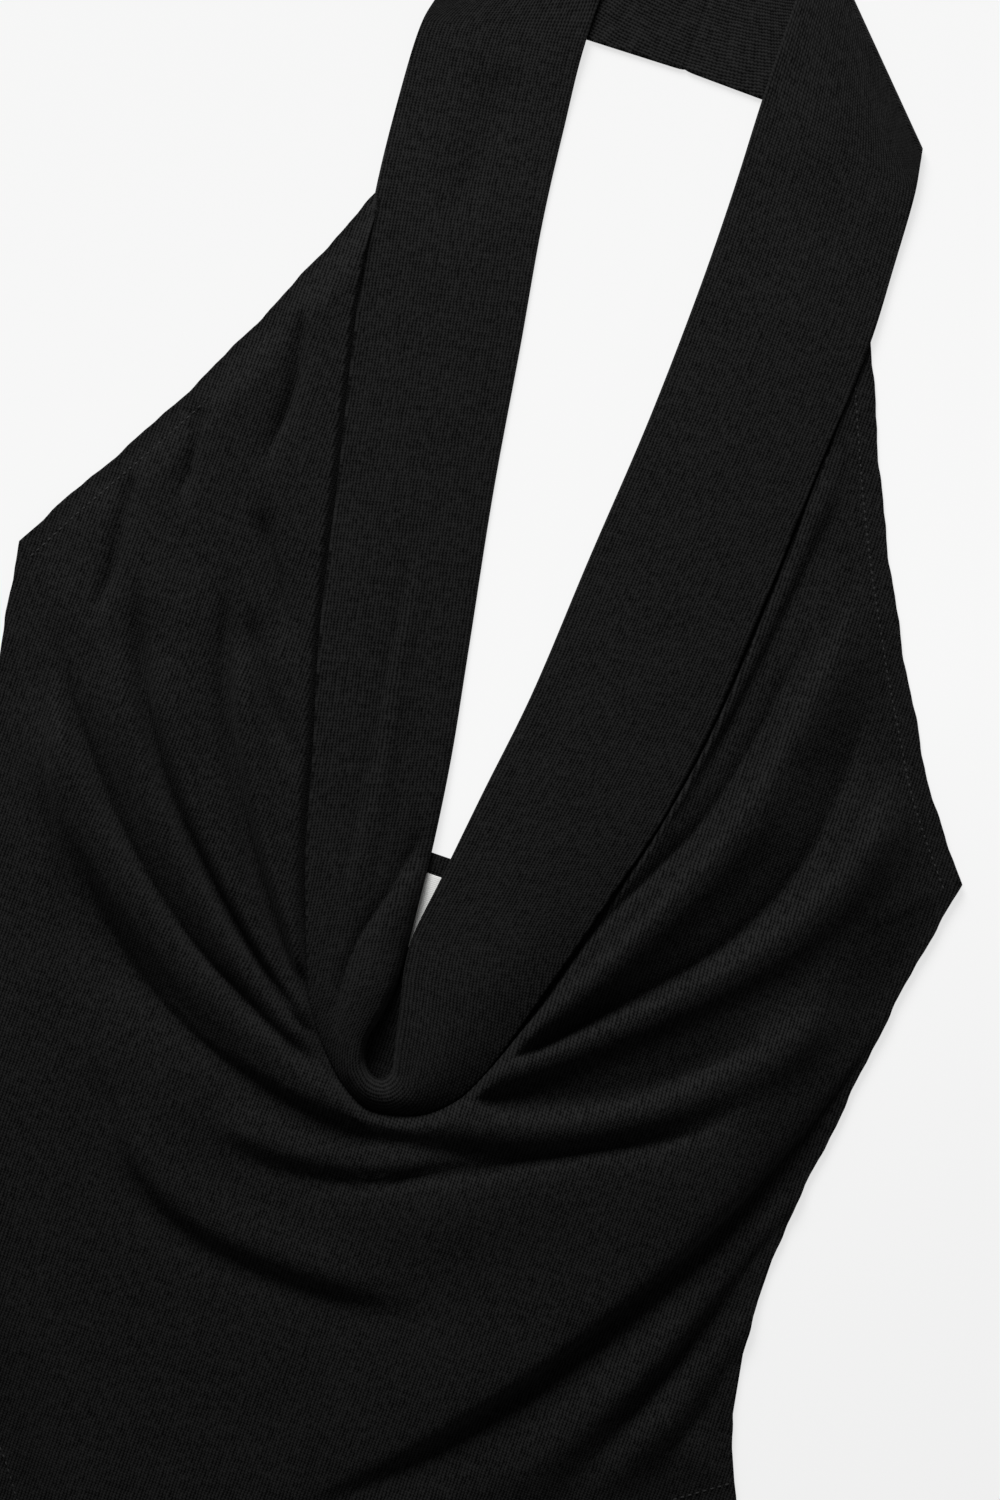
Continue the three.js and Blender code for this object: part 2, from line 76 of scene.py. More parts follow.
def add_camera():
    """A camera over the view's centre, as high as its lens needs for the view's height."""
    data = bpy.data.cameras.new("overhead")
    data.lens = LENS
    data.sensor_width = SENSOR
    data.clip_end = 20.0
    camera = bpy.data.objects.new("overhead", data)
    bpy.context.scene.collection.objects.link(camera)
    distance = VIEW_HEIGHT * MM * LENS / SENSOR
    camera.location = (VIEW_CENTRE[0] * MM, (VIEW_CENTRE[1] + UNDERARM_Y) * MM, distance)
    camera.rotation_euler = (0.0, 0.0, VIEW_TURN)
    bpy.context.scene.camera = camera
    return distance


print("camera height", round(add_camera(), 3))

# %% [markdown]
# ## Small tools for surfaces
# Three tools are enough for cloth. A smooth step blends one value into another. A curve
# through a few points gives outlines and fold lines. A wall gives a sheet its thickness: the
# middle of the cloth is a grid of points, and the wall runs round it as a closed loop.

# %% Blends and curves


def smoothstep(start, end, value):
    """0 before start, 1 after end, and 3t^2 - 2t^3 between them."""
    t = np.clip((value - start) / (end - start), 0.0, 1.0)
    return t * t * (3.0 - 2.0 * t)


def curve_at(points, t):
    """Centripetal Catmull-Rom curve: t counts the points, and each stretch is a cubic whose
    end slopes come from the neighbouring points, weighted by the root of their distance."""
    points = np.asarray(points, float)
    first = 2 * points[0] - points[1]
    last = 2 * points[-1] - points[-2]
    padded = np.vstack([first, points, last])
    i = np.clip(np.floor(t).astype(int), 0, len(points) - 2)
    share = (np.asarray(t, float) - i)[:, None]
    p0, p1, p2, p3 = (padded[i + k] for k in range(4))
    d0, d1, d2 = (np.sqrt(np.linalg.norm(b - a, axis=1))[:, None] + 1e-9
                  for a, b in ((p0, p1), (p1, p2), (p2, p3)))
    slope1 = ((p1 - p0) / d0 - (p2 - p0) / (d0 + d1) + (p2 - p1) / d1) * d1
    slope2 = ((p2 - p1) / d1 - (p3 - p1) / (d1 + d2) + (p3 - p2) / d2) * d1
    a = 2 * p1 - 2 * p2 + slope1 + slope2
    b = -3 * p1 + 3 * p2 - 2 * slope1 - slope2
    return ((a * share + b) * share + slope1) * share + p1


def even_points(points, count):
    """count points at even steps of length along the curve through the given points."""
    fine = curve_at(points, np.linspace(0, len(points) - 1, 60 * len(points)))
    along = np.concatenate([[0], np.cumsum(np.linalg.norm(np.diff(fine, axis=0), axis=1))])
    at = np.linspace(0, along[-1], count)
    return np.stack([np.interp(at, along, fine[:, k]) for k in range(fine.shape[1])], axis=1)


def column_at(values, t):
    """A table's column read smoothly between its rows."""
    values = np.asarray(values, float)
    rows = np.stack([values, np.arange(len(values)) * 1.0], axis=1)
    return curve_at(rows, np.asarray(t, float).ravel())[:, 0]


# %% Meshes from grids


def make_mesh(name, points, quads, uv):
    """A smooth mesh from points in millimetres, quads as an index array, and UVs in metres."""
    metres = (np.asarray(points, float) + [0.0, UNDERARM_Y, 0.0]) * MM
    corners = metres[quads]
    fan = np.cross(corners[:, 1] - corners[:, 0], corners[:, 2] - corners[:, 0])
    fan += np.cross(corners[:, 2] - corners[:, 0], corners[:, 3] - corners[:, 0])
    if np.einsum("ij,ij->", corners.mean(axis=1) - metres.mean(axis=0), fan) < 0:
        quads = quads[:, ::-1]
    mesh = bpy.data.meshes.new(name)
    mesh.vertices.add(len(metres))
    mesh.vertices.foreach_set("co", metres.astype(np.float32).ravel())
    mesh.loops.add(quads.size)
    mesh.loops.foreach_set("vertex_index", quads.astype(np.int32).ravel())
    mesh.polygons.add(len(quads))
    mesh.polygons.foreach_set("loop_start", np.arange(0, quads.size, 4, dtype=np.int32))
    mesh.update(calc_edges=True)
    mesh.polygons.foreach_set("use_smooth", np.ones(len(quads), dtype=bool))
    layer = mesh.uv_layers.new(name="cloth")
    layer.data.foreach_set("uv", (np.asarray(uv) * MM)[quads.ravel()].astype(np.float32).ravel())
    mesh.validate()
    piece = bpy.data.objects.new(name, mesh)
    bpy.context.scene.collection.objects.link(piece)
    return piece


def unit(vectors):
    """The same vectors, each one long."""
    return vectors / np.maximum(np.linalg.norm(vectors, axis=-1, keepdims=True), 1e-9)


EDGE_TURN = np.radians([72.0, 36.0, 12.0])  # points round a cut or folded edge, from its face


def cloth_wall(name, middle, half, uv, ring=False):
    """A closed wall round the middle of a sheet. middle is rows by columns of points, and half
    is half its thickness at each. The loop of each row runs over the face, round one edge,
    back under the sheet and round the other edge. The two end rows are closed across, or
    joined to each other where the sheet is a ring."""
    if ring:
        along = np.roll(middle, -1, axis=0) - np.roll(middle, 1, axis=0)
    else:
        along = np.gradient(middle, axis=0)
    across = np.gradient(middle, axis=1)
    normal = unit(np.cross(across, along))
    half = np.broadcast_to(half, middle.shape[:2])[..., None]
    out = [-unit(across[:, :1]), unit(across[:, -1:])]
    uv = np.asarray(uv, float)

    def edge(side, column, sign, order):
        turn = EDGE_TURN[order][None, :, None]
        arm = half[:, column:column + 1] if column >= 0 else half[:, -1:]
        at = middle[:, column:column + 1] if column >= 0 else middle[:, -1:]
        facing = normal[:, column:column + 1] if column >= 0 else normal[:, -1:]
        return at + arm * (out[side] * np.cos(turn) + sign * facing * np.sin(turn))

    up, down = slice(None, None, 1), slice(None, None, -1)
    top = middle + normal * half
    low = middle - normal * half
    loop = np.concatenate([
        edge(0, 0, 1, down), top, edge(1, -1, 1, up),
        edge(1, -1, -1, down), low[:, ::-1], edge(0, 0, -1, up)], axis=1)
    rounds = len(EDGE_TURN)
    left, right = [np.repeat(uv[:, k:k + 1] if k >= 0 else uv[:, -1:], rounds, axis=1)
                   for k in (0, -1)]
    loop_uv = np.concatenate([left, uv, right, right, uv[:, ::-1], left], axis=1)
    rows, size = loop.shape[:2]
    k = np.arange(size)
    start = np.arange(rows if ring else rows - 1)[:, None] * size
    after = (start + size) % (rows * size)
    wall = np.stack([start + k, after + k, after + (k + 1) % size, start + (k + 1) % size],
                    axis=-1)
    quads = wall.reshape(-1, 4)
    if not ring:
        j = np.arange(size // 2 - 1)
        cap = np.stack([j, j + 1, size - 2 - j, size - 1 - j], axis=-1)
        quads = np.concatenate([quads, cap, cap[:, ::-1] + (rows - 1) * size])
    piece = make_mesh(name, loop.reshape(-1, 3), quads, loop_uv.reshape(-1, 2))
    print(name, len(quads) * 2, "triangles")
    return piece


# %% [markdown]
# ## The outline
# The armholes, side seams and leg edges are curves through a few points. The two armholes
# aren't alike, because the cowl's slack is pulled to one side. A hemmed or seamed edge in
# jersey is never quite straight, so the outline gets a faint waver.

# %% Outline tables: x and y
ARMHOLE_LEFT = [(-99, 200), (-108, 178), (-132, 122), (-156, 73), (-183, 26), (-HALF_BUST, 4)]
ARMHOLE_RIGHT = [(82, 212), (92, 188), (109, 147), (123, 116), (144, 75), (160, 47), (173, 25),
                 (HALF_BUST, -3)]
SIDE = [(189, -33), (184, -65), (179, -106), (173, -155), (173, -196), (179, -232), (190, -258)]
LEG = [(190, -258), (177, -267), (135, -298), (92, -337), (62, -383), (54.5, -397.7)]
GUSSET_SEAM_Y = LEG[-1][1]
WAVER = [(0.3, 41.0, 0.4), (0.14, 19.0, 2.1), (0.08, 9.5, 4.0)]  # height, length and phase
WAVER_FADE = 12.0  # distance from an edge's ends over which the waves die out


def mirrored(rows):
    """The same rows on the left side."""
    return [(-x, y) for x, y in rows]


def wavered(edge):
    """The same edge with a few small waves along it, which die out at both ends."""
    way = unit(np.gradient(edge, axis=0))
    step = np.linalg.norm(np.diff(edge, axis=0), axis=1)
    along = np.concatenate([[0], np.cumsum(step)])
    wave = sum(high * np.sin(2 * np.pi * along / length + phase)
               for high, length, phase in WAVER)
    wave *= smoothstep(0, WAVER_FADE, along) * smoothstep(0, WAVER_FADE, along[-1] - along)
    return edge + np.column_stack([-way[:, 1], way[:, 0]]) * wave[:, None]


# %% [markdown]
# ## The neck band
# The band is one long strip, folded in half along the neck edge and seamed behind the neck.
# It folds over at both shoulders, so its back-neck half lies under the strap ends, and it
# stands up as a soft roll round the foot of the cowl. A table of stations gives both edges,
# the height of each, and how far it crowns between them and curls over at the neck edge.

# %% Band stations
# inner x, inner y, outer x, outer y, inner height, outer height, crown, curl
BAND = np.array([
    (-48.5, 328.5, -109.5, 260.5, 2.4, 2.4, 0.0, 0.0),
    (-51.0, 262.0, -112.0, 247.0, 2.4, 2.4, 0.0, 0.0),
    (-48.0, 225.0, -111.0, 214.0, 0.2, 1.4, 0.4, 0.0),
    (-44.0, 188.0, -107.0, 173.0, 0.1, 1.9, 1.0, 0.0),
    (-36.5, 140.0, -98.0, 125.0, 0.1, 1.9, 1.2, 0.0),
    (-28.0, 83.0, -85.0, 68.0, 0.1, 2.0, 1.3, 0.0),
    (-17.0, 21.0, -72.0, 8.0, 0.3, 3.2, 1.5, 0.2),
    (-9.5, -22.0, -59.0, -38.0, 1.6, 4.2, 1.8, 0.4),
    (-5.0, -57.0, -49.0, -75.0, 3.2, 4.6, 2.6, 0.8),
    (-3.0, -80.0, -41.0, -98.0, 4.6, 4.8, 3.6, 2.0),
    (-1.7, -97.0, -35.0, -114.0, 6.0, 5.0, 4.0, 3.6),
    (-1.2, -112.0, -29.0, -128.0, 8.4, 5.0, 4.2, 5.2),
    (-2.6, -124.0, -22.0, -138.0, 9.0, 5.0, 4.4, 6.4),
    (-4.6, -134.0, -14.0, -147.0, 9.0, 5.0, 4.0, 7.0),
    (-3.0, -143.0, -6.0, -154.0, 8.6, 5.0, 3.6, 7.2),
    (1.4, -148.0, 4.0, -159.0, 8.2, 5.0, 3.4, 7.2),
    (6.4, -148.5, 15.0, -158.0, 7.6, 5.0, 3.6, 6.8),
    (9.6, -144.0, 26.0, -154.0, 7.4, 5.0, 4.0, 6.0),
    (8.6, -137.0, 34.0, -147.0, 8.0, 5.0, 4.2, 5.4),
    (7.2, -131.0, 40.0, -138.0, 8.4, 5.0, 4.2, 4.6),
    (5.6, -123.0, 45.0, -126.0, 8.0, 5.0, 4.0, 3.4),
    (3.6, -114.0, 49.5, -112.0, 7.0, 5.0, 3.8, 2.4),
    (1.6, -105.0, 54.0, -96.0, 5.6, 6.0, 3.6, 1.2),
    (0.4, -92.0, 59.5, -77.0, 3.8, 6.8, 3.0, 0.8),
    (3.6, -66.0, 67.0, -50.0, 3.2, 7.0, 2.2, 0.5),
    (8.0, -30.0, 75.5, -18.0, 1.6, 6.4, 1.8, 0.3),
    (13.5, 12.0, 82.0, 22.0, 0.3, 5.2, 1.5, 0.2),
    (17.5, 70.0, 86.0, 78.0, 0.1, 3.8, 1.3, 0.0),
    (22.0, 130.0, 89.0, 135.0, 0.1, 2.6, 1.2, 0.0),
    (24.0, 186.0, 92.0, 184.0, 0.1, 1.9, 1.0, 0.0),
    (24.0, 225.0, 91.0, 217.0, 0.2, 1.4, 0.4, 0.0),
    (23.0, 262.0, 89.5, 246.0, 2.4, 2.4, 0.0, 0.0),
    (22.5, 328.5, 87.5, 260.5, 2.4, 2.4, 0.0, 0.0),
])
CURL_REACH = 3.6  # how far from the neck edge the band starts to curl over
BAND_THICK = 2.0
# Stations that the corners of the front panel's cut edge hang from
LEFT_ARMHOLE_TOP, LEFT_UNDERARM, LEFT_HIP, LEFT_CROTCH = 2.45, 10.6, 13.0, 14.5
RIGHT_CROTCH, RIGHT_HIP, RIGHT_UNDERARM, RIGHT_ARMHOLE_TOP = 15.6, 17.2, 20.4, 29.55


def band_underside(station, across):
    """Points on the band's underside. Across runs from 0 at the neck edge to 1 at the body
    edge. The height goes straight from edge to edge, plus a sine crown, less a parabola that
    turns the neck edge down."""
    station, across = np.broadcast_arrays(station, across)
    flat = station.ravel()
    inner = curve_at(BAND[:, 0:2], flat)
    outer = curve_at(BAND[:, 2:4], flat)
    low, high, crown, curl = (column_at(BAND[:, k], flat) for k in range(4, 8))
    share = across.ravel()
    xy = inner + (outer - inner) * share[:, None]
    width = np.linalg.norm(outer - inner, axis=1)
    turned = np.clip(1 - share * width / CURL_REACH, 0, 1) ** 2
    z = low + (high - low) * share + crown * np.sin(np.pi * share) - curl * turned
    return np.column_stack([xy, z]).reshape(station.shape + (3,))


# %% [markdown]
# ## Folds
# The cowl's slack falls into swags: soft rolls of cloth that start at the armholes and sides,
# run down and in, and crowd together under the foot of the neck band. Each roll is a crest
# line, with a rise and a width on either hand of it, so that one flank can be
# steep and the other long. Between rolls the cloth is pinched into creases, which are lines
# with a depth, sharper at the bottom. Simulation would make folds too, but not these ones in
# these places, so the tables are the better tool here.

# %% Rolls: rise, width left and right of the line, taper of both by the end, points of the line
ROLLS = [
    (3.0, 5, 5, 0.5, [(97, 150), (94, 95), (89, 45), (82, 5), (74, -25)]),
    (8.0, 17, 4.5, 0.6, [(123, 106), (119, 60), (112, 20), (103, -16), (91, -43), (76, -73),
                         (60, -101), (37, -134)]),
    (9.5, 13, 5, 0.55, [(152, 40), (157, 16), (152, -12), (139, -38), (119, -64), (93, -91),
                        (62, -119), (30, -145)]),
    (8.0, 9, 7, 0.35, [(168, -60), (150, -84), (128, -107), (100, -129), (66, -145), (34, -152),
                       (15, -154)]),
    (6.5, 4, 34, 0, [(187, -48), (179, -74), (167, -108), (152, -144), (132, -183), (105, -224),
                     (72, -266), (40, -300), (10, -330)]),
    (4.5, 5, 10, 0, [(183, -110), (172, -145), (159, -178), (143, -214), (122, -253), (97, -294)]),
    (3.5, 6, 8, 0, [(181, -168), (170, -196), (157, -230), (145, -258), (133, -290)]),
    (11.0, 5, 14, 0.45, [(-170, -37), (-153, -66), (-128, -92), (-98, -116), (-64, -138),
                         (-32, -152), (-6, -158), (24, -150)]),
    (5.5, 3.5, 13, 0.5, [(-147, -15), (-130, -49), (-108, -78), (-80, -105), (-49, -129),
                         (-20, -148)]),
    (6.0, 11, 3.5, 0.5, [(-136, -12), (-118, -47), (-94, -79), (-65, -107), (-38, -130),
                         (-21, -141)]),
    (5.0, 8, 3.5, 0.5, [(-103, 0), (-87, -40), (-66, -78), (-46, -105), (-31, -124)]),
    (4.0, 14, 6, 0.2, [(-97, -187), (-72, -210), (-38, -223), (5, -226), (52, -223)]),
    (6.0, 6, 40, 0, [(-107, -134), (-72, -153), (-30, -163), (12, -157), (54, -146), (92, -131),
                     (132, -107)]),
    (4.5, 34, 3.5, 0, [(152, -107), (128, -132), (94, -151), (54, -172), (14, -190),
                       (-36, -196)]),
    (3.5, 8, 6, 0.2, [(-54, -181), (-20, -185), (12, -181), (48, -164)]),
]

# %% Creases: depth, width left and right of the line, taper, points of the line
CREASES = [
    (3.4, 6, 4, 0.3, [(103, 127), (98, 92), (93, 56), (88, 20), (83, -3)]),
    (4.7, 3, 6, 0.3, [(108, 78), (105, 52), (100, 20), (92, -12), (80, -38), (66, -65),
                      (44, -115)]),
    (6.1, 3, 10, 0.5, [(136, 58), (139, 30), (138, 2), (132, -24), (117, -54), (98, -78),
                       (76, -101), (48, -130)]),
    (6.8, 3.5, 8, 0.4, [(153, -75), (138, -91), (121, -106), (103, -122), (76, -136),
                        (48, -148), (24, -155)]),
    (5.0, 9, 3.5, 0.2, [(146, -107), (131, -126), (104, -142), (72, -158), (40, -175),
                        (8, -188), (-26, -192), (-58, -187)]),
    (7.0, 10, 2, 0, [(189, -53), (181, -81), (170, -115), (155, -148), (137, -181), (115, -218),
                     (93, -250), (66, -284), (38, -310), (12, -337)]),
    (5.5, 8, 2.5, 0, [(181, -129), (170, -158), (160, -186), (148, -219), (136, -248),
                      (125, -276), (113, -305)]),
    (3.4, 5, 3, 0, [(181, -191), (172, -216), (160, -244), (149, -277)]),
    (7.4, 4, 13, 0.1, [(-143, -88), (-128, -109), (-105, -133), (-76, -151), (-40, -163),
                       (0, -168), (42, -164), (94, -146)]),
    (4.0, 2.5, 2.5, 0.2, [(-175, -12), (-161, -40), (-140, -67), (-114, -95), (-83, -120),
                          (-48, -138), (-4, -159)]),
    (9.0, 3, 2.5, 0.3, [(-150, 12), (-144, -4), (-128, -38), (-107, -68), (-82, -94),
                        (-55, -118), (-34, -133), (-14, -148)]),
    (9.5, 4, 3.5, 0.3, [(-116, 24), (-110, 4), (-99, -28), (-84, -58), (-65, -87), (-44, -114),
                        (-23, -135)]),
    (3.8, 3, 10, 0.2, [(-110, -168), (-95, -188), (-76, -210), (-50, -226), (-18, -232),
                       (24, -233), (64, -230)]),
    (3.5, 3, 6, 0, [(-173, -34), (-157, -73), (-141, -111), (-126, -140), (-110, -167)]),
    (8.5, 1.8, 2.4, 0, [(-161, 46), (-160, 27), (-157, 4), (-159, -20)]),
    (8.5, 1.8, 3, 0, [(-121, 128), (-114, 101), (-113, 86), (-116, 58)]),
    (8.0, 1.6, 2, 0, [(-146, 80), (-142, 58), (-140, 36)]),
    (7.0, 2, 2.6, 0, [(-112, 48), (-98, 26), (-90, 13), (-81, -3)]),
    (6.0, 5, 4, 0, [(-102, 11), (-92, -10), (-78, -29), (-60, -47)]),
]

# %% The same for the neck band
BAND_ROLLS = [
    (2.6, 8, 7, 0, [(-7, -59), (-10, -98), (-6, -138)]),
    (2.2, 4, 10, 0, [(-48, 56), (-41, 8), (-30, -48), (-26, -101)]),
]
BAND_CREASES = [
    (2.0, 7, 7, 0, [(-76, 245), (-75, 214), (-76, 190), (-78, 166)]),
    (3.2, 2, 6, 0, [(-51, 59), (-46, 28), (-42, -5), (-37, -40), (-32, -81), (-26, -114)]),
    (3.8, 2, 3, 0, [(-9, -46), (-14, -76), (-20, -101), (-18, -129), (-4, -150)]),
]

# %% Sum of rolls or creases
FADE_IN, FADE_OUT = 0.2, 0.4  # shares of a line's length over which it comes and goes
TAPER_HOLD = 1.5  # how much of its end fade a line gives up for its taper
CREST_STEPS = 28
CREASE_BOTTOM = 0.8  # radius of a crease's bottom


def fold_sum(table, x, y, crease=False):
    """Sum over the lines at each point. A roll adds rise x exp(-(d / width)^2) and a crease
    depth x exp(-d / width), with d the distance to the line, rounded off at a crease's bottom.
    The width depends on which hand of the line the point is. Both ends fade, but a line that
    tapers runs in under the band and fades later."""
    total = np.zeros(x.size)
    px, py = x.ravel()[:, None], y.ravel()[:, None]
    for rise, left, right, taper, line in table:
        crest = even_points(line, CREST_STEPS + 1)
        a, step = crest[:-1], np.diff(crest, axis=0)
        t = ((px - a[:, 0]) * step[:, 0] + (py - a[:, 1]) * step[:, 1]) / (step ** 2).sum(axis=1)
        t = np.clip(t, 0, 1)
        off_x = px - a[:, 0] - t * step[:, 0]
        off_y = py - a[:, 1] - t * step[:, 1]
        distance = np.hypot(off_x, off_y)
        k = distance.argmin(axis=1)
        pick = np.arange(len(k))
        hand = step[k, 0] * off_y[pick, k] - step[k, 1] * off_x[pick, k]
        width = np.where(hand > 0, left, right)
        along = (k + t[pick, k]) / CREST_STEPS
        width = width * (1 - taper * along)
        fade_out = FADE_OUT * (1 - TAPER_HOLD * taper)
        ends = smoothstep(0, FADE_IN, along) * smoothstep(1, 1 - fade_out, along)
        d = distance[pick, k]
        if crease:
            d = np.sqrt(d ** 2 + CREASE_BOTTOM ** 2) - CREASE_BOTTOM
            shape = np.exp(-d / width)
        else:
            shape = np.exp(-((d / width) ** 2))
        total += rise * ends * shape
    return total.reshape(x.shape)


# %% [markdown]
# ## The front panel
# The front hangs from the band like a bib: its cut edge runs down one armhole, the side seam
# and the leg, across the crotch and up again, and its neck edge is sewn to the band. Straight
# lines from the cut edge to the seam make the grid, and they run with the folds, so that the
# mesh is finest across them. Rows crowd together at the hem, and at the seam with the band.

# %% Front panel: grid lines and heights
TUCK = 10.0  # how far the front runs in under the band
TUCK_SHARE = 0.55  # and at most this share of the band's width
JERSEY = 0.8  # one layer
HEM = 7.0  # turned-in edge, two layers
HEM_THICK = 1.2
HEM_SOFT = 0.5  # half the distance over which a hem's second layer ends
FRONT_LAYER = 1.2  # height of the face over its rest, as in the frame
GAP = 0.3
BACK_DIP = -58.0  # middle of the back's top edge
BACK_SIDE = -6.0  # the same edge at the side seams
REST_BACK = 1.6  # underside of the front where it lies on the back
REST_START, REST_FULL = 60.0, 26.0  # above the back's top edge, where it starts to lift to that
PUFF = 7.0  # slack air between the panels, away from the edges
STRIP_SLACK = 0.2  # share of it left on the narrow strip beside the right strap
STRIP_UP, STRIP_OUT = (10, 110), (20, 70)  # y and x over which that strip sets in
GATHER_UP, GATHER_OUT = (0, 30), (0, -60)  # and those of the gathers at the left armhole
SOFT_FLOOR = 0.35  # how gently the cloth settles where a crease meets its rest
CROWDED, CROWDED_ROOM = 12.0, 6.0  # where rolls crowd, they flatten each other above this
PUFF_REACH = 42.0  # from a cut edge to full slack
ARMHOLE_REACH = 20.0  # the same at the left armhole, where the slack gathers
EDGE_KEEP = 0.75  # share of the folds left at a cut edge
TABLE_KEEP = 0.8  # share of slack and folds left where the front lies on the table itself
PRESS_REACH, PRESS_FLAT = 13.0, 4.0  # beside the straps, where the cloth dives and lies low
FOOT_REACH, FOOT_FLAT = 5.0, 1.0  # the same at the foot of the cowl
FOOT_Y, STRAP_Y = -140.0, -95.0  # where the foot ends and the straps begin
PRESS_DROP = 2.8  # how far it lies under a strap's edge
DROP_START, DROP_FULL = 1.0, 5.0  # heights of that edge between which the drop sets in
SEAM_SAG = 3.5  # and how far it may sag from the band in a valley
NEAR_EDGE = np.array([0.0, 0.5, 1.2, 2.2, 3.4, 4.8, 5.8, 6.4, 6.9, 7.4, 8.0, 9.2, 11.0])
NEAR_BAND = np.array([8.0, 5.6, 3.8, 2.4, 1.2, 0.4, 0.0])
TUCK_ROWS = 3
SHORT_LINE = 40.0  # below this length a grid line's rows draw together
MIDDLE_ROWS = 70
FINE_STEP = 2.5  # between grid lines along armholes and sides
COARSE_STEP = 7.0  # and along legs and crotch


def front_lines():
    """Cut-edge points and the band station that each one's grid line runs to."""
    crotch = [(-LEG[-1][0], GUSSET_SEAM_Y), (LEG[-1][0], GUSSET_SEAM_Y)]
    side_left = [(-HALF_BUST, ARMHOLE_LEFT[-1][1])] + mirrored(SIDE)
    side_right = [(HALF_BUST, ARMHOLE_RIGHT[-1][1])] + SIDE
    runs = [
        (ARMHOLE_LEFT, LEFT_ARMHOLE_TOP, LEFT_UNDERARM, FINE_STEP),
        (side_left, LEFT_UNDERARM, LEFT_HIP, FINE_STEP),
        (mirrored(LEG), LEFT_HIP, LEFT_CROTCH, COARSE_STEP),
        (crotch, LEFT_CROTCH, RIGHT_CROTCH, COARSE_STEP),
        (LEG[::-1], RIGHT_CROTCH, RIGHT_HIP, COARSE_STEP),
        (side_right[::-1], RIGHT_HIP, RIGHT_UNDERARM, FINE_STEP),
        (ARMHOLE_RIGHT[::-1], RIGHT_UNDERARM, RIGHT_ARMHOLE_TOP, FINE_STEP),
    ]
    edges, stations = [], []
    for line, first, last, step in runs:
        length = np.linalg.norm(np.diff(even_points(line, 50), axis=0), axis=1).sum()
        count = max(int(length / step), 4)
        skip = 1 if edges else 0
        edges.append(wavered(even_points(line, count + 1))[skip:])
        stations.append(np.linspace(first, last, count + 1)[skip:])
    return np.concatenate(edges), np.concatenate(stations)


def back_top_y(x):
    """The scooped top edge of the back panel, a parabola from side seam to side seam."""
    return BACK_DIP + (BACK_SIDE - BACK_DIP) * (x / HALF_BUST) ** 2


def front_face(x, y, from_edge):
    """Height of the front's face: its rest on the table or on the back panel, one layer, the
    slack air between the panels, and the folds, all lower towards the cut edges."""
    over_back = smoothstep(REST_START, REST_FULL, y - back_top_y(x))
    gathered = smoothstep(*GATHER_UP, y) * smoothstep(*GATHER_OUT, x)
    inside = smoothstep(0, PUFF_REACH + (ARMHOLE_REACH - PUFF_REACH) * gathered, from_edge)
    keep = EDGE_KEEP + (1 - EDGE_KEEP) * inside
    folds = fold_sum(ROLLS, x, y) - fold_sum(CREASES, x, y, crease=True)
    strip = smoothstep(*STRIP_UP, y) * smoothstep(*STRIP_OUT, x)
    puff = PUFF * (1 - (1 - STRIP_SLACK) * strip)
    raised = (puff * inside + folds * keep) * (TABLE_KEEP + (1 - TABLE_KEEP) * over_back)
    raised = (raised + np.sqrt(raised ** 2 + 4 * SOFT_FLOOR ** 2)) / 2
    high = np.maximum(raised - CROWDED, 0)
    raised = raised - high + high / (1 + high / CROWDED_ROOM)
    return REST_BACK * over_back + FRONT_LAYER + raised


def front_panel():
    """The front's wall. Each grid line has rows near the hem, even rows across the middle,
    rows near the band, and three rows tucked in under it."""
    edge, station = front_lines()
    inner = band_underside(station, np.zeros_like(station))
    seam = band_underside(station, np.ones_like(station))
    width = np.linalg.norm((inner - seam)[:, :2], axis=1)
    tucked = band_underside(station, 1 - np.minimum(TUCK / width, TUCK_SHARE))
    length = np.linalg.norm(seam[:, :2] - edge, axis=1)[:, None]
    scale = np.minimum(length / SHORT_LINE, 1)
    near, far = NEAR_EDGE * scale, length - NEAR_BAND * scale
    share = np.linspace(0, 1, MIDDLE_ROWS + 2)[1:-1]
    middle = near[:, -1:] + (far[:, :1] - near[:, -1:]) * share
    distance = np.concatenate([near, middle, far], axis=1)
    along = distance / length
    x = edge[:, :1] + (seam[:, :1] - edge[:, :1]) * along
    y = edge[:, 1:] + (seam[:, 1:2] - edge[:, 1:]) * along
    free = front_face(x, y, distance)
    beside = smoothstep(FOOT_Y, STRAP_Y, seam[:, 1:2])
    reach = (FOOT_REACH + (PRESS_REACH - FOOT_REACH) * beside) * scale
    flat = (FOOT_FLAT + (PRESS_FLAT - FOOT_FLAT) * beside) * scale
    pressed = smoothstep(reach, flat, length - distance)
    drop = PRESS_DROP * beside * smoothstep(DROP_START, DROP_FULL, seam[:, 2:])
    under = seam[:, 2:] - GAP - drop
    under = np.clip(free[:, -1:], under - SEAM_SAG * (1 - beside), under)
    face = free + (under - free) * pressed
    inward = np.linspace(0, 1, TUCK_ROWS + 1)[1:]
    tuck_xy = seam[:, None, :2] + (tucked - seam)[:, None, :2] * inward[:, None]
    tuck_z = under + (np.minimum(tucked[:, 2:], seam[:, 2:]) - GAP - under) * inward
    x = np.concatenate([x, tuck_xy[..., 0]], axis=1)
    y = np.concatenate([y, tuck_xy[..., 1]], axis=1)
    face = np.concatenate([face, tuck_z], axis=1)
    from_edge = np.concatenate([distance, distance[:, -TUCK_ROWS:]], axis=1)
    hem = smoothstep(HEM + HEM_SOFT, HEM - HEM_SOFT, from_edge)
    thick = JERSEY + (HEM_THICK - JERSEY) * hem
    middle = np.stack([x, y, face - thick / 2], axis=-1)
    return cloth_wall("front_panel_jersey", middle, thick / 2, np.stack([x, y], axis=-1))


front = front_panel()

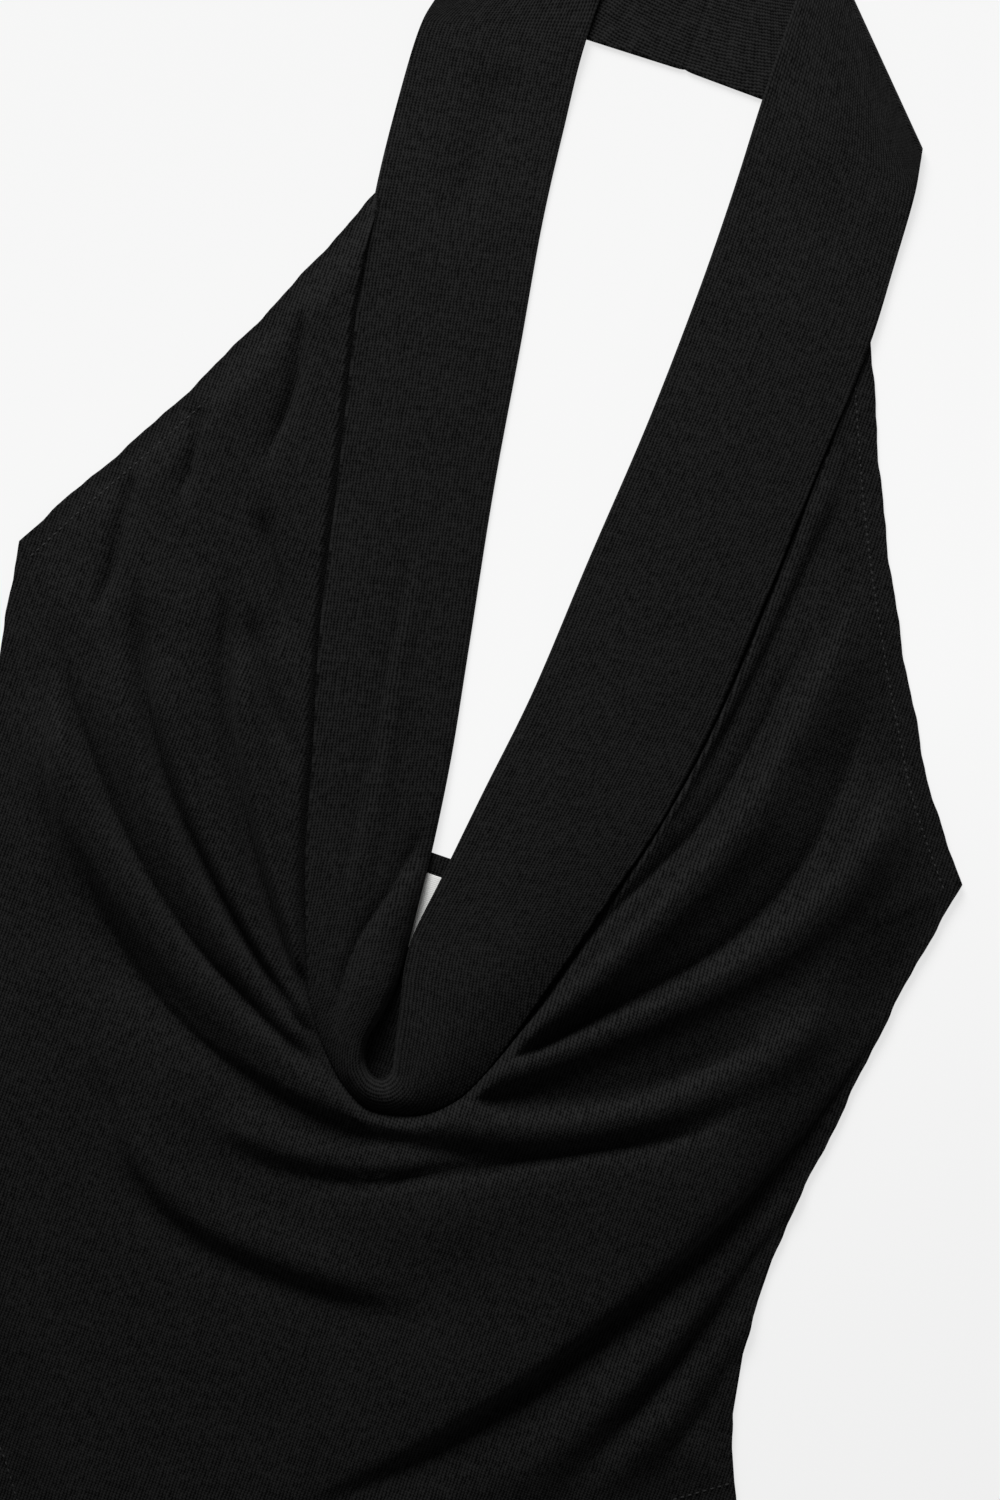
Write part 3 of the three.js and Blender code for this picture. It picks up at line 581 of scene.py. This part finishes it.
# %% [markdown]
# ## The band as one strip
# From the seam behind the neck the strip lies flat on the table, turns over at the shoulder
# on a half circle as wide as its own thickness, runs down as the strap, rounds the foot of
# the cowl and comes back the same way. One grid of rows does it all, so the cloth is whole.

# %% Neck band
CENTRE_BACK_X = -10.0
BAND_TOP, BAND_FOOT = 328.5, 263.0
TURN_RADIUS = 1.2
BAND_WALL = 1.8
SEAM_HALF = 0.1
SEAM_GROOVE, SEAM_SPREAD = 0.45, 0.8  # depth and reach of the groove at the seam
CORNER_ROUND = 2.4
NECK_ROWS = 40  # from the seam behind the neck to a shoulder fold
NECK_CROWD = 1.3  # above 1, those rows crowd together at the seam
TURN_ROWS = 15  # round the fold
BAND_COLUMNS = 44
ROWS_PER_STATION = 12


def shoulder_rows(station, hand, across):
    """Rows from the centre-back seam to the shoulder fold, then round the fold, as middles of
    the cloth. The half circle stands on the fold line and bulges away from the strap. The row
    at its far side is drawn in at both ends, which rounds the corners of the fold."""
    crease = band_underside(np.full_like(across, station), across)
    seam_x = CENTRE_BACK_X + hand * SEAM_HALF
    seam = np.column_stack([np.full_like(across, seam_x),
                            BAND_TOP + (BAND_FOOT - BAND_TOP) * across,
                            np.full_like(across, BAND_THICK / 2)])
    low = crease.copy()
    low[:, 2] = BAND_THICK / 2
    share = np.linspace(0, 1, NECK_ROWS)[:-1, None, None] ** NECK_CROWD
    flat = seam + (low - seam) * share
    line = crease[-1, :2] - crease[0, :2]
    outward = unit(np.array([-line[1], line[0], 0.0]))
    outward *= np.sign(outward[1])
    along = unit(crease[-1] - crease[0]) * [1, 1, 0]
    angle = np.linspace(0, np.pi, TURN_ROWS)[:, None, None]
    centre = low + [0.0, 0.0, TURN_RADIUS]
    turn = centre + TURN_RADIUS * (np.sin(angle) * outward - np.cos(angle) * [0.0, 0.0, 1.0])
    turn = turn - along * CORNER_ROUND * np.sin(angle) * (2 * across - 1)[:, None]
    return np.concatenate([flat, turn])


def neck_band():
    """The strip's wall, from the seam behind the neck all the way round to it. The cloth thins
    into a groove at the seam."""
    across = np.linspace(0, 1, BAND_COLUMNS)
    last = len(BAND) - 1
    stations = np.linspace(0, last, last * ROWS_PER_STATION + 1)[2:-2]
    strap = band_underside(stations[:, None], across[None, :])
    rolls = fold_sum(BAND_ROLLS, strap[..., 0], strap[..., 1])
    creases = fold_sum(BAND_CREASES, strap[..., 0], strap[..., 1], crease=True)
    strap[..., 2] += BAND_THICK / 2 + rolls - creases
    strap[..., 2] = np.maximum(strap[..., 2], BAND_WALL / 2)
    middle = np.concatenate([shoulder_rows(0, -1, across), strap,
                             shoulder_rows(last, 1, across)[::-1]])
    step = np.linalg.norm(np.diff(middle[:, BAND_COLUMNS // 2], axis=0), axis=1)
    along = np.concatenate([[0], np.cumsum(step)])
    from_seam = np.minimum(along, along[-1] - along)
    half = BAND_WALL / 2 - SEAM_GROOVE * np.exp(-from_seam / SEAM_SPREAD)
    width = np.linalg.norm(middle[:, -1] - middle[:, 0], axis=1)
    uv = np.stack(np.broadcast_arrays(width[:, None] * across, along[:, None]), axis=-1)
    return cloth_wall("neck_band_jersey", middle, half[:, None], uv, ring=True)


band = neck_band()

# %% [markdown]
# ## The back panel, its binding and the label
# The back lies flat on the table under the front. Its top edge is scooped between the side
# seams and bound, its leg edges are cut fuller than the front's, and its crotch end turns up
# over the front to the crotch seam. The label is a blank tape sewn under the binding.

# %% Back panel
BACK_WALL = 0.8
BACK_LAYER = 1.0
BINDING_WIDTH = 6.0
CROTCH_Y = -434.0
CROTCH_HALF = 38.0
GUSSET_TURN = 36.0
LEG_FULLNESS = 11.0
BACK_LEG = LEG[:-1] + [(50, -408), (CROTCH_HALF, CROTCH_Y)]
SCOOP_FOOT = -200.0  # height at which the scoop of the rows has died out
BACK_COLUMNS = 60
BACK_ROWS = 60  # down the side seams, and again down the leg edges
LEG_CROWD = 1.5  # above 1, the leg rows crowd together at the hip
TURN_STEPS, END_ROWS = 10, 15  # round the crotch fold, and up the turned-up end
TOP_ROW_Y = BACK_DIP - BINDING_WIDTH - GAP


def back_half(y):
    """Half width of the back at a height: the side seam, then the fuller leg edge."""
    side = np.array([(HALF_BUST, 0.0)] + SIDE)
    leg = even_points(BACK_LEG, 80)
    down = np.clip((y - SIDE[-1][1]) / (CROTCH_Y - SIDE[-1][1]), 0, 1)
    from_side = np.interp(-y, -side[:, 1], side[:, 0]) - GAP
    from_leg = np.interp(-y, -leg[:, 1], leg[:, 0]) + LEG_FULLNESS * np.sin(np.pi * down)
    return np.where(y > SIDE[-1][1], from_side, from_leg)


def back_rows(y, across):
    """Rows of the back panel: the top row follows the scoop, which dies out below it."""
    scoop = smoothstep(SCOOP_FOOT, TOP_ROW_Y, y)[:, None]
    lift = (BACK_SIDE - BACK_DIP) * scoop
    x = across * back_half(y[:, None] + lift)
    return np.stack([x, y[:, None] + lift * across ** 2, np.full_like(x, BACK_LAYER / 2)], axis=-1)


def back_panel():
    """Flat rows, a half circle round the crotch fold, and the turned-up end."""
    across = np.linspace(-1, 1, BACK_COLUMNS)
    hip = SIDE[-1][1]
    leg_y = hip + (CROTCH_Y - hip) * np.linspace(0, 1, BACK_ROWS)[1:] ** LEG_CROWD
    flat = back_rows(np.concatenate([np.linspace(TOP_ROW_Y, hip, BACK_ROWS), leg_y]), across)
    radius = BACK_LAYER / 2 + GAP / 2
    angle = np.linspace(0, np.pi, TURN_STEPS + 1)[1:, None]
    turn = np.stack(np.broadcast_arrays(
        CROTCH_HALF * across, CROTCH_Y - radius * np.sin(angle),
        BACK_LAYER + GAP / 2 - radius * np.cos(angle)), axis=-1)
    share = np.linspace(0, 1, END_ROWS + 1)[1:, None]
    y = CROTCH_Y + GUSSET_TURN * share
    half = CROTCH_HALF + (LEG[-1][0] - CROTCH_HALF) * share
    end = np.stack(np.broadcast_arrays(half * across, y, BACK_LAYER * 1.5 + GAP), axis=-1)
    middle = np.concatenate([flat, turn, end])
    return cloth_wall("back_panel_jersey", middle, BACK_WALL / 2, middle[..., :2])


back = back_panel()

# %% Binding and label
BINDING_WALL = 1.25
BINDING_LAP = 1.0  # how far the binding laps over the panel's edge
TAPE_HALF = 0.22  # half the thickness of the tape
TAPE_INSET = 0.3  # from the outline of its solid
TAPE_REST = 0.25  # middle of the tape over the bottom of its solid
TAPE_LIFT, TAPE_WAVE = 0.3, 9.0  # lift at the loose edge, and the length of its ripple


def binding():
    """A narrow strip along the back's top edge, slightly thicker than the panel."""
    across = np.linspace(-1, 1, 120)
    top = back_rows(np.array([TOP_ROW_Y]), across)[0]
    inset = BINDING_WALL / 2
    up = np.linspace(inset - BINDING_LAP, GAP + BINDING_WIDTH - inset, 12)
    middle = top[:, None, :] + up[:, None] * [0.0, 1.0, 0.0]
    middle[..., 2] = inset
    return cloth_wall("back_edge_binding_jersey", middle, inset, middle[..., :2])


def label():
    """A blank tape, its lower edge lifted a little where it isn't sewn down."""
    low, high = LABEL_LOW - [0, UNDERARM_Y, 0], LABEL_HIGH - [0, UNDERARM_Y, 0]
    x = np.linspace(low[0] + TAPE_INSET, high[0] - TAPE_INSET, 40)[:, None]
    y = np.linspace(low[1] + TAPE_INSET, high[1] - TAPE_INSET, 30)[None, :]
    x, y = np.broadcast_arrays(x, y)
    ripple = np.sin(x / TAPE_WAVE) * 0.5 + 0.5
    z = low[2] + TAPE_REST + TAPE_LIFT * ripple * smoothstep(high[1], low[1], y)
    middle = np.stack([x, y, z], axis=-1)
    return cloth_wall("label_tape", middle, TAPE_HALF, middle[..., :2])


back_binding = binding()
back_label = label()

# %% [markdown]
# ## Stitching
# Armholes and legs are turned in and held by one row of topstitching. A stitch shows as a
# short thread that sinks into the cloth at both ends, so one small capsule repeated along the
# hem is enough. All the stitches are one joined mesh.

# %% Stitches
STITCH_PITCH = 3.0
STITCH_LENGTH = 2.1
THREAD = 0.42  # radius at a stitch's middle, the thread pressed wide
ROW_POINTS = 160  # along each row's line
LEFT_HIDDEN, RIGHT_HIDDEN = 8, 12  # of them, under the band at the top of each armhole


def stitch_row(points):
    """Capsules along a line of surface points: each has five rings of six points, laid along
    the line's direction, and its middle stands half its thickness out of the cloth."""
    step = np.linalg.norm(np.diff(points, axis=0), axis=1)
    along = np.concatenate([[0], np.cumsum(step)])
    at = np.arange(STITCH_PITCH / 2, along[-1], STITCH_PITCH)
    place = np.stack([np.interp(at, along, points[:, k]) for k in range(3)], axis=1)
    ahead = np.stack([np.interp(at + 0.5, along, points[:, k]) for k in range(3)], axis=1)
    behind = np.stack([np.interp(at - 0.5, along, points[:, k]) for k in range(3)], axis=1)
    tangent = unit(ahead - behind)
    side = unit(np.cross([0.0, 0.0, 1.0], tangent))
    up = np.cross(tangent, side)
    s = np.linspace(-1, 1, 5)[:, None]
    angle = np.radians(np.arange(0, 360, 60))[None, :]
    swell = np.sqrt(1 - 0.9 * s ** 2) * THREAD
    lift = 0.1 - 0.35 * s ** 2
    along_part = (s * STITCH_LENGTH / 2 + 0 * angle).ravel()
    side_part = (swell * np.cos(angle)).ravel()
    up_part = (swell * np.sin(angle) + lift).ravel()
    return (place[:, None] + tangent[:, None] * along_part[:, None]
            + side[:, None] * side_part[:, None] + up[:, None] * up_part[:, None])


def stitch_quads(count):
    """The faces of that many capsules: four bands of six, and two quads over each end."""
    ring = np.arange(6)
    rows = np.arange(4)[:, None] * 6
    sides = np.stack([rows + ring, rows + (ring + 1) % 6,
                      rows + 6 + (ring + 1) % 6, rows + 6 + ring], axis=-1).reshape(-1, 4)
    ends = np.array([(3, 2, 1, 0), (5, 4, 3, 0), (24, 25, 26, 27), (24, 27, 28, 29)])
    one = np.concatenate([sides, ends])
    return (one + 30 * np.arange(count)[:, None, None]).reshape(-1, 4)


def front_stitch_line(line, offset=HEM):
    """The line at the hem's depth inside an edge, lying on the front's face."""
    edge = even_points(line, ROW_POINTS)
    way = unit(np.gradient(edge, axis=0))
    inward = np.column_stack([-way[:, 1], way[:, 0]])
    xy = edge + inward * offset
    z = front_face(xy[:, 0], xy[:, 1], np.full(len(xy), offset))
    return np.column_stack([xy, z])


def stitching():
    """Rows on both armholes and both front leg edges."""
    rows = [
        front_stitch_line(ARMHOLE_LEFT)[LEFT_HIDDEN:],
        front_stitch_line(ARMHOLE_RIGHT[::-1])[:-RIGHT_HIDDEN],
        front_stitch_line(mirrored(LEG)),
        front_stitch_line(LEG[::-1]),
    ]
    points = np.concatenate([stitch_row(row) for row in rows])
    quads = stitch_quads(len(points))
    return make_mesh("hem_stitching", points.reshape(-1, 3), quads, points.reshape(-1, 3)[:, :2])


stitches = stitching()

# %% [markdown]
# ## Materials
# The cloth is a viscose and elastane single jersey, piece-dyed black. Its face is rows of
# tiny loops: ribs run up the cloth, and the loops cross them. It is matt, with a faint bloom
# of fibre ends at grazing angles, so it needs a very dark base, almost no mirror shine, a
# high roughness and a little sheen. Loops are about 0.6 mm apart, too fine to show, so the
# ribs are drawn about twice as coarse.

# %% Material tools


def linear(hex_colour):
    """An sRGB hex colour as linear RGBA."""
    channels = [int(hex_colour[i:i + 2], 16) / 255 for i in (1, 3, 5)]
    return tuple(c / 12.92 if c <= 0.04045 else ((c + 0.055) / 1.055) ** 2.4
                 for c in channels) + (1.0,)


def add_node(tree, kind, settings=None, links=None, **values):
    """One node: settings are its properties, values its inputs, links its linked inputs."""
    node = tree.nodes.new(kind)
    for name, value in (settings or {}).items():
        setattr(node, name, value)
    for name, value in values.items():
        key = int(name[1:]) if name[1:].isdigit() else name.replace("_", " ")
        node.inputs[key].default_value = value
    for name, source in (links or {}).items():
        tree.links.new(source, node.inputs[name])
    return node


def new_material(name):
    """A material with an empty node tree."""
    material = bpy.data.materials.new(name)
    material.use_nodes = True
    material.node_tree.nodes.clear()
    return material, material.node_tree


# %% Jersey
WALE = 1.3  # rib spacing as drawn
COURSE = 1.1  # loop spacing as drawn
WANDER = 1.1  # how far the ribs stray to one side, in mm
LOOP_SHARE, FUZZ_SHARE = 0.6, 3.6  # of the loops and the fuzz in the height, the ribs being 1
HEIGHT_RANGE = (-0.6, 4.2)  # heights that count as tone 0 and 1
CLUMP_SHARE, PATCH_SHARE = 0.35, 0.16  # of the clumps and patches in the tone
TONE_RANGE = (0.47, 1.03)  # tones that take the dark and the light colour


def jersey(name, dark, light):
    """Knitted cloth: ribs and loops from sines of the cloth's own coordinates, with fuzz on
    them, clumps of 4 mm where the knit is denser, and faint patches of 20 mm."""
    material, tree = new_material(name)
    uv = add_node(tree, "ShaderNodeUVMap", {"uv_map": "cloth"})
    split = add_node(tree, "ShaderNodeSeparateXYZ", links={"Vector": uv.outputs[0]})
    wander = add_node(tree, "ShaderNodeTexNoise", {"noise_dimensions": "3D"}, Scale=260.0,
                      Detail=2.0, links={"Vector": uv.outputs[0]})
    shift = add_node(tree, "ShaderNodeMath", {"operation": "MULTIPLY_ADD"}, _1=WANDER * MM, _2=0.0,
                     links={0: wander.outputs[0]})
    u = add_node(tree, "ShaderNodeMath", {"operation": "ADD"},
                 links={0: split.outputs[0], 1: shift.outputs[0]})
    rib = add_node(tree, "ShaderNodeMath", {"operation": "MULTIPLY"},
                   _1=2 * np.pi / (WALE * MM), links={0: u.outputs[0]})
    rib_wave = add_node(tree, "ShaderNodeMath", {"operation": "SINE"}, links={0: rib.outputs[0]})
    slant = add_node(tree, "ShaderNodeMath", {"operation": "COSINE"}, links={0: rib.outputs[0]})
    row = add_node(tree, "ShaderNodeMath", {"operation": "MULTIPLY_ADD"},
                   _1=2 * np.pi / (COURSE * MM), links={0: split.outputs[1], 2: slant.outputs[0]})
    row_wave = add_node(tree, "ShaderNodeMath", {"operation": "SINE"}, links={0: row.outputs[0]})
    loops = add_node(tree, "ShaderNodeMath", {"operation": "MULTIPLY_ADD"}, _1=LOOP_SHARE,
                     links={0: row_wave.outputs[0], 2: rib_wave.outputs[0]})
    fuzz = add_node(tree, "ShaderNodeTexNoise", Scale=520.0, Detail=4.0, Roughness=0.75,
                    links={"Vector": uv.outputs[0]})
    height = add_node(tree, "ShaderNodeMath", {"operation": "MULTIPLY_ADD"}, _1=FUZZ_SHARE,
                      links={0: fuzz.outputs[0], 2: loops.outputs[0]})
    tone = add_node(tree, "ShaderNodeMapRange", None, {0: height.outputs[0]})
    tone.inputs[1].default_value, tone.inputs[2].default_value = HEIGHT_RANGE
    clumps = add_node(tree, "ShaderNodeMath", {"operation": "MULTIPLY_ADD"}, _1=CLUMP_SHARE,
                      links={0: wander.outputs[0], 2: tone.outputs[0]})
    patch = add_node(tree, "ShaderNodeTexNoise", Scale=45.0, Detail=4.0,
                     links={"Vector": uv.outputs[0]})
    shade = add_node(tree, "ShaderNodeMath", {"operation": "MULTIPLY_ADD"}, _1=PATCH_SHARE,
                     links={0: patch.outputs[0], 2: clumps.outputs[0]})
    ramp = add_node(tree, "ShaderNodeMapRange", None, {0: shade.outputs[0]})
    ramp.inputs[1].default_value, ramp.inputs[2].default_value = TONE_RANGE
    colour = add_node(tree, "ShaderNodeMix", {"data_type": "RGBA"}, {0: ramp.outputs[0]})
    colour.inputs[6].default_value = linear(dark)
    colour.inputs[7].default_value = linear(light)
    bump = add_node(tree, "ShaderNodeBump", None, {"Height": height.outputs[0]},
                    Strength=0.5, Distance=0.00012)
    skin = add_node(tree, "ShaderNodeBsdfPrincipled", None,
                    {"Base Color": colour.outputs[2], "Normal": bump.outputs[0]},
                    Roughness=0.85, IOR=1.45, Specular_IOR_Level=0.03, Sheen_Weight=0.02,
                    Sheen_Roughness=0.5)
    add_node(tree, "ShaderNodeOutputMaterial", None, {"Surface": skin.outputs[0]})
    return material


body_jersey = jersey("black_single_jersey", "#020202", "#202020")
band_jersey = jersey("black_doubled_jersey", "#030303", "#202020")

# %% Label tape and thread


def woven_tape():
    """White satin tape: fine crosswise yarns, a soft shine and no lettering."""
    material, tree = new_material("white_satin_tape")
    uv = add_node(tree, "ShaderNodeUVMap", {"uv_map": "cloth"})
    yarn = add_node(tree, "ShaderNodeTexWave", {"bands_direction": "Y"}, Scale=420.0,
                    Distortion=0.6, links={"Vector": uv.outputs[0]})
    bump = add_node(tree, "ShaderNodeBump", None, {"Height": yarn.outputs[1]},
                    Strength=0.3, Distance=0.0001)
    colour = add_node(tree, "ShaderNodeMix", {"data_type": "RGBA"}, {0: yarn.outputs[1]})
    colour.inputs[6].default_value = linear("#dcdcda")
    colour.inputs[7].default_value = linear("#f0f0ee")
    skin = add_node(tree, "ShaderNodeBsdfPrincipled", None,
                    {"Base Color": colour.outputs[2], "Normal": bump.outputs[0]}, Roughness=0.5)
    add_node(tree, "ShaderNodeOutputMaterial", None, {"Surface": skin.outputs[0]})
    return material


def sewing_thread():
    """Black polyester thread: two twisted plies, a touch shinier than the cloth."""
    material, tree = new_material("black_polyester_thread")
    place = add_node(tree, "ShaderNodeTexCoord")
    ply = add_node(tree, "ShaderNodeTexWave", {"bands_direction": "DIAGONAL"}, Scale=900.0,
                   links={"Vector": place.outputs["Object"]})
    colour = add_node(tree, "ShaderNodeMix", {"data_type": "RGBA"}, {0: ply.outputs[1]})
    colour.inputs[6].default_value = linear("#161616")
    colour.inputs[7].default_value = linear("#303030")
    bump = add_node(tree, "ShaderNodeBump", None, {"Height": ply.outputs[1]},
                    Strength=0.3, Distance=0.0001)
    skin = add_node(tree, "ShaderNodeBsdfPrincipled", None,
                    {"Base Color": colour.outputs[2], "Normal": bump.outputs[0]},
                    Roughness=0.7, Specular_IOR_Level=0.1)
    add_node(tree, "ShaderNodeOutputMaterial", None, {"Surface": skin.outputs[0]})
    return material


tape = woven_tape()
thread = sewing_thread()

# %% [markdown]
# ## Light and floor
# One soft lamp stands beyond the neck end of the table, as in a studio flat lay, and a little
# even light comes from all round. The lamp is near enough that the hips get less of it than
# the straps. A studio table stays evenly white all the same, so the floor's own colour makes
# up for the lamp's falloff, and the floor keeps the soft shadow.

# %% Lamp and world
LAMP_LEVEL = 0.82  # light that the lamp puts on the middle of the table, 1 being a plain level
WORLD_LEVEL = 0.2
LAMP_DISTANCE = 1.5
LAMP_SIZE = 0.75
LAMP_HEIGHT = np.radians(33.0)
LAMP_WAY = np.radians(101.0)  # towards the top of the view


def lamp_place():
    """The lamp's position, and the view's centre that it points at."""
    way = LAMP_WAY + VIEW_TURN
    flat = np.cos(LAMP_HEIGHT)
    towards = Vector((np.cos(way) * flat, np.sin(way) * flat, np.sin(LAMP_HEIGHT)))
    target = Vector((VIEW_CENTRE[0] * MM, (VIEW_CENTRE[1] + UNDERARM_Y) * MM, 0.0))
    return target + towards * LAMP_DISTANCE, towards


def lights():
    """A square lamp whose power is level x pi^2 x distance^2 over the sine of its height, and
    a plain world, which the camera sees as white."""
    data = bpy.data.lights.new("soft_lamp", "AREA")
    data.size = LAMP_SIZE
    data.energy = LAMP_LEVEL * np.pi ** 2 * LAMP_DISTANCE ** 2 / np.sin(LAMP_HEIGHT)
    lamp = bpy.data.objects.new("soft_lamp", data)
    lamp.location, towards = lamp_place()
    lamp.rotation_euler = towards.to_track_quat("Z", "Y").to_euler()
    bpy.context.scene.collection.objects.link(lamp)
    world = bpy.data.worlds.new("studio")
    world.use_nodes = True
    tree = world.node_tree
    tree.nodes.clear()
    rays = add_node(tree, "ShaderNodeLightPath")
    strength = add_node(tree, "ShaderNodeMapRange", None, {0: rays.outputs["Is Camera Ray"]})
    strength.inputs[3].default_value = WORLD_LEVEL
    strength.inputs[4].default_value = 1.0
    sky = add_node(tree, "ShaderNodeBackground", None, {1: strength.outputs[0]},
                   Color=linear("#f8f8f8"))
    add_node(tree, "ShaderNodeOutputWorld", None, {"Surface": sky.outputs[0]})
    bpy.context.scene.world = world
    bpy.context.scene.view_settings.view_transform = "Standard"


lights()

# %% Floor
FLOOR_SIZE = 8.0
FLOOR_GLOW = 0.75  # share of the floor that the camera sees as plain white
FLOOR_WHITE = 0.97
FLOOR_MOST = 0.97  # no paper reflects more


def floor():
    """A flat sheet under the garment, a hair below it. Its reflectance is the white that it
    should show over the light that falls there: lamp level x (distance at the middle over
    distance here)^3, plus the world's."""
    size = FLOOR_SIZE / 2
    mesh = bpy.data.meshes.new("table")
    mesh.from_pydata([(-size, -size, 0), (size, -size, 0), (size, size, 0), (-size, size, 0)],
                     [], [(0, 1, 2, 3)])
    table = bpy.data.objects.new("table", mesh)
    table.location = (0.0, 0.0, -0.0002)
    bpy.context.scene.collection.objects.link(table)
    material, tree = new_material("white_table")
    place = add_node(tree, "ShaderNodeTexCoord")
    away = add_node(tree, "ShaderNodeVectorMath", {"operation": "DISTANCE"},
                    {0: place.outputs["Object"]}, _1=lamp_place()[0])
    cube = add_node(tree, "ShaderNodeMath", {"operation": "POWER"}, {0: away.outputs[1]}, _1=3.0)
    lamp = add_node(tree, "ShaderNodeMath", {"operation": "DIVIDE"}, {1: cube.outputs[0]},
                    _0=LAMP_LEVEL * LAMP_DISTANCE ** 3)
    light = add_node(tree, "ShaderNodeMath", {"operation": "ADD"}, {0: lamp.outputs[0]},
                     _1=WORLD_LEVEL)
    shade = add_node(tree, "ShaderNodeMath", {"operation": "DIVIDE"}, {1: light.outputs[0]},
                     _0=FLOOR_WHITE)
    paper = add_node(tree, "ShaderNodeMath", {"operation": "MINIMUM"}, {0: shade.outputs[0]},
                     _1=FLOOR_MOST)
    matt = add_node(tree, "ShaderNodeBsdfDiffuse", None, {"Color": paper.outputs[0]})
    white = add_node(tree, "ShaderNodeEmission", Color=linear("#f9f9f9"), Strength=1.0)
    rays = add_node(tree, "ShaderNodeLightPath")
    seen = add_node(tree, "ShaderNodeMath", {"operation": "MULTIPLY"},
                    {0: rays.outputs["Is Camera Ray"]}, _1=FLOOR_GLOW)
    mix = add_node(tree, "ShaderNodeMixShader", None,
                   {0: seen.outputs[0], 1: matt.outputs[0], 2: white.outputs[0]})
    add_node(tree, "ShaderNodeOutputMaterial", None, {"Surface": mix.outputs[0]})
    mesh.materials.append(material)


floor()

# %% [markdown]
# Every piece rides on the one body, stands for its CAD solid and takes a material slot.

# %% Materials and bodies
dress = [
    (front, body_jersey, "jersey", "front_panel"),
    (back, body_jersey, "jersey", "back_panel"),
    (band, band_jersey, "jersey_band", "neck_band"),
    (back_binding, band_jersey, "jersey_band", "back_edge_binding"),
    (back_label, tape, "label_tape", "label"),
]
for piece, material, slot_name, node in dress:
    piece.data.materials.append(material)
    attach(piece, "root")
    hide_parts(node)
stitches.data.materials.append(thread)
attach(stitches, "root")
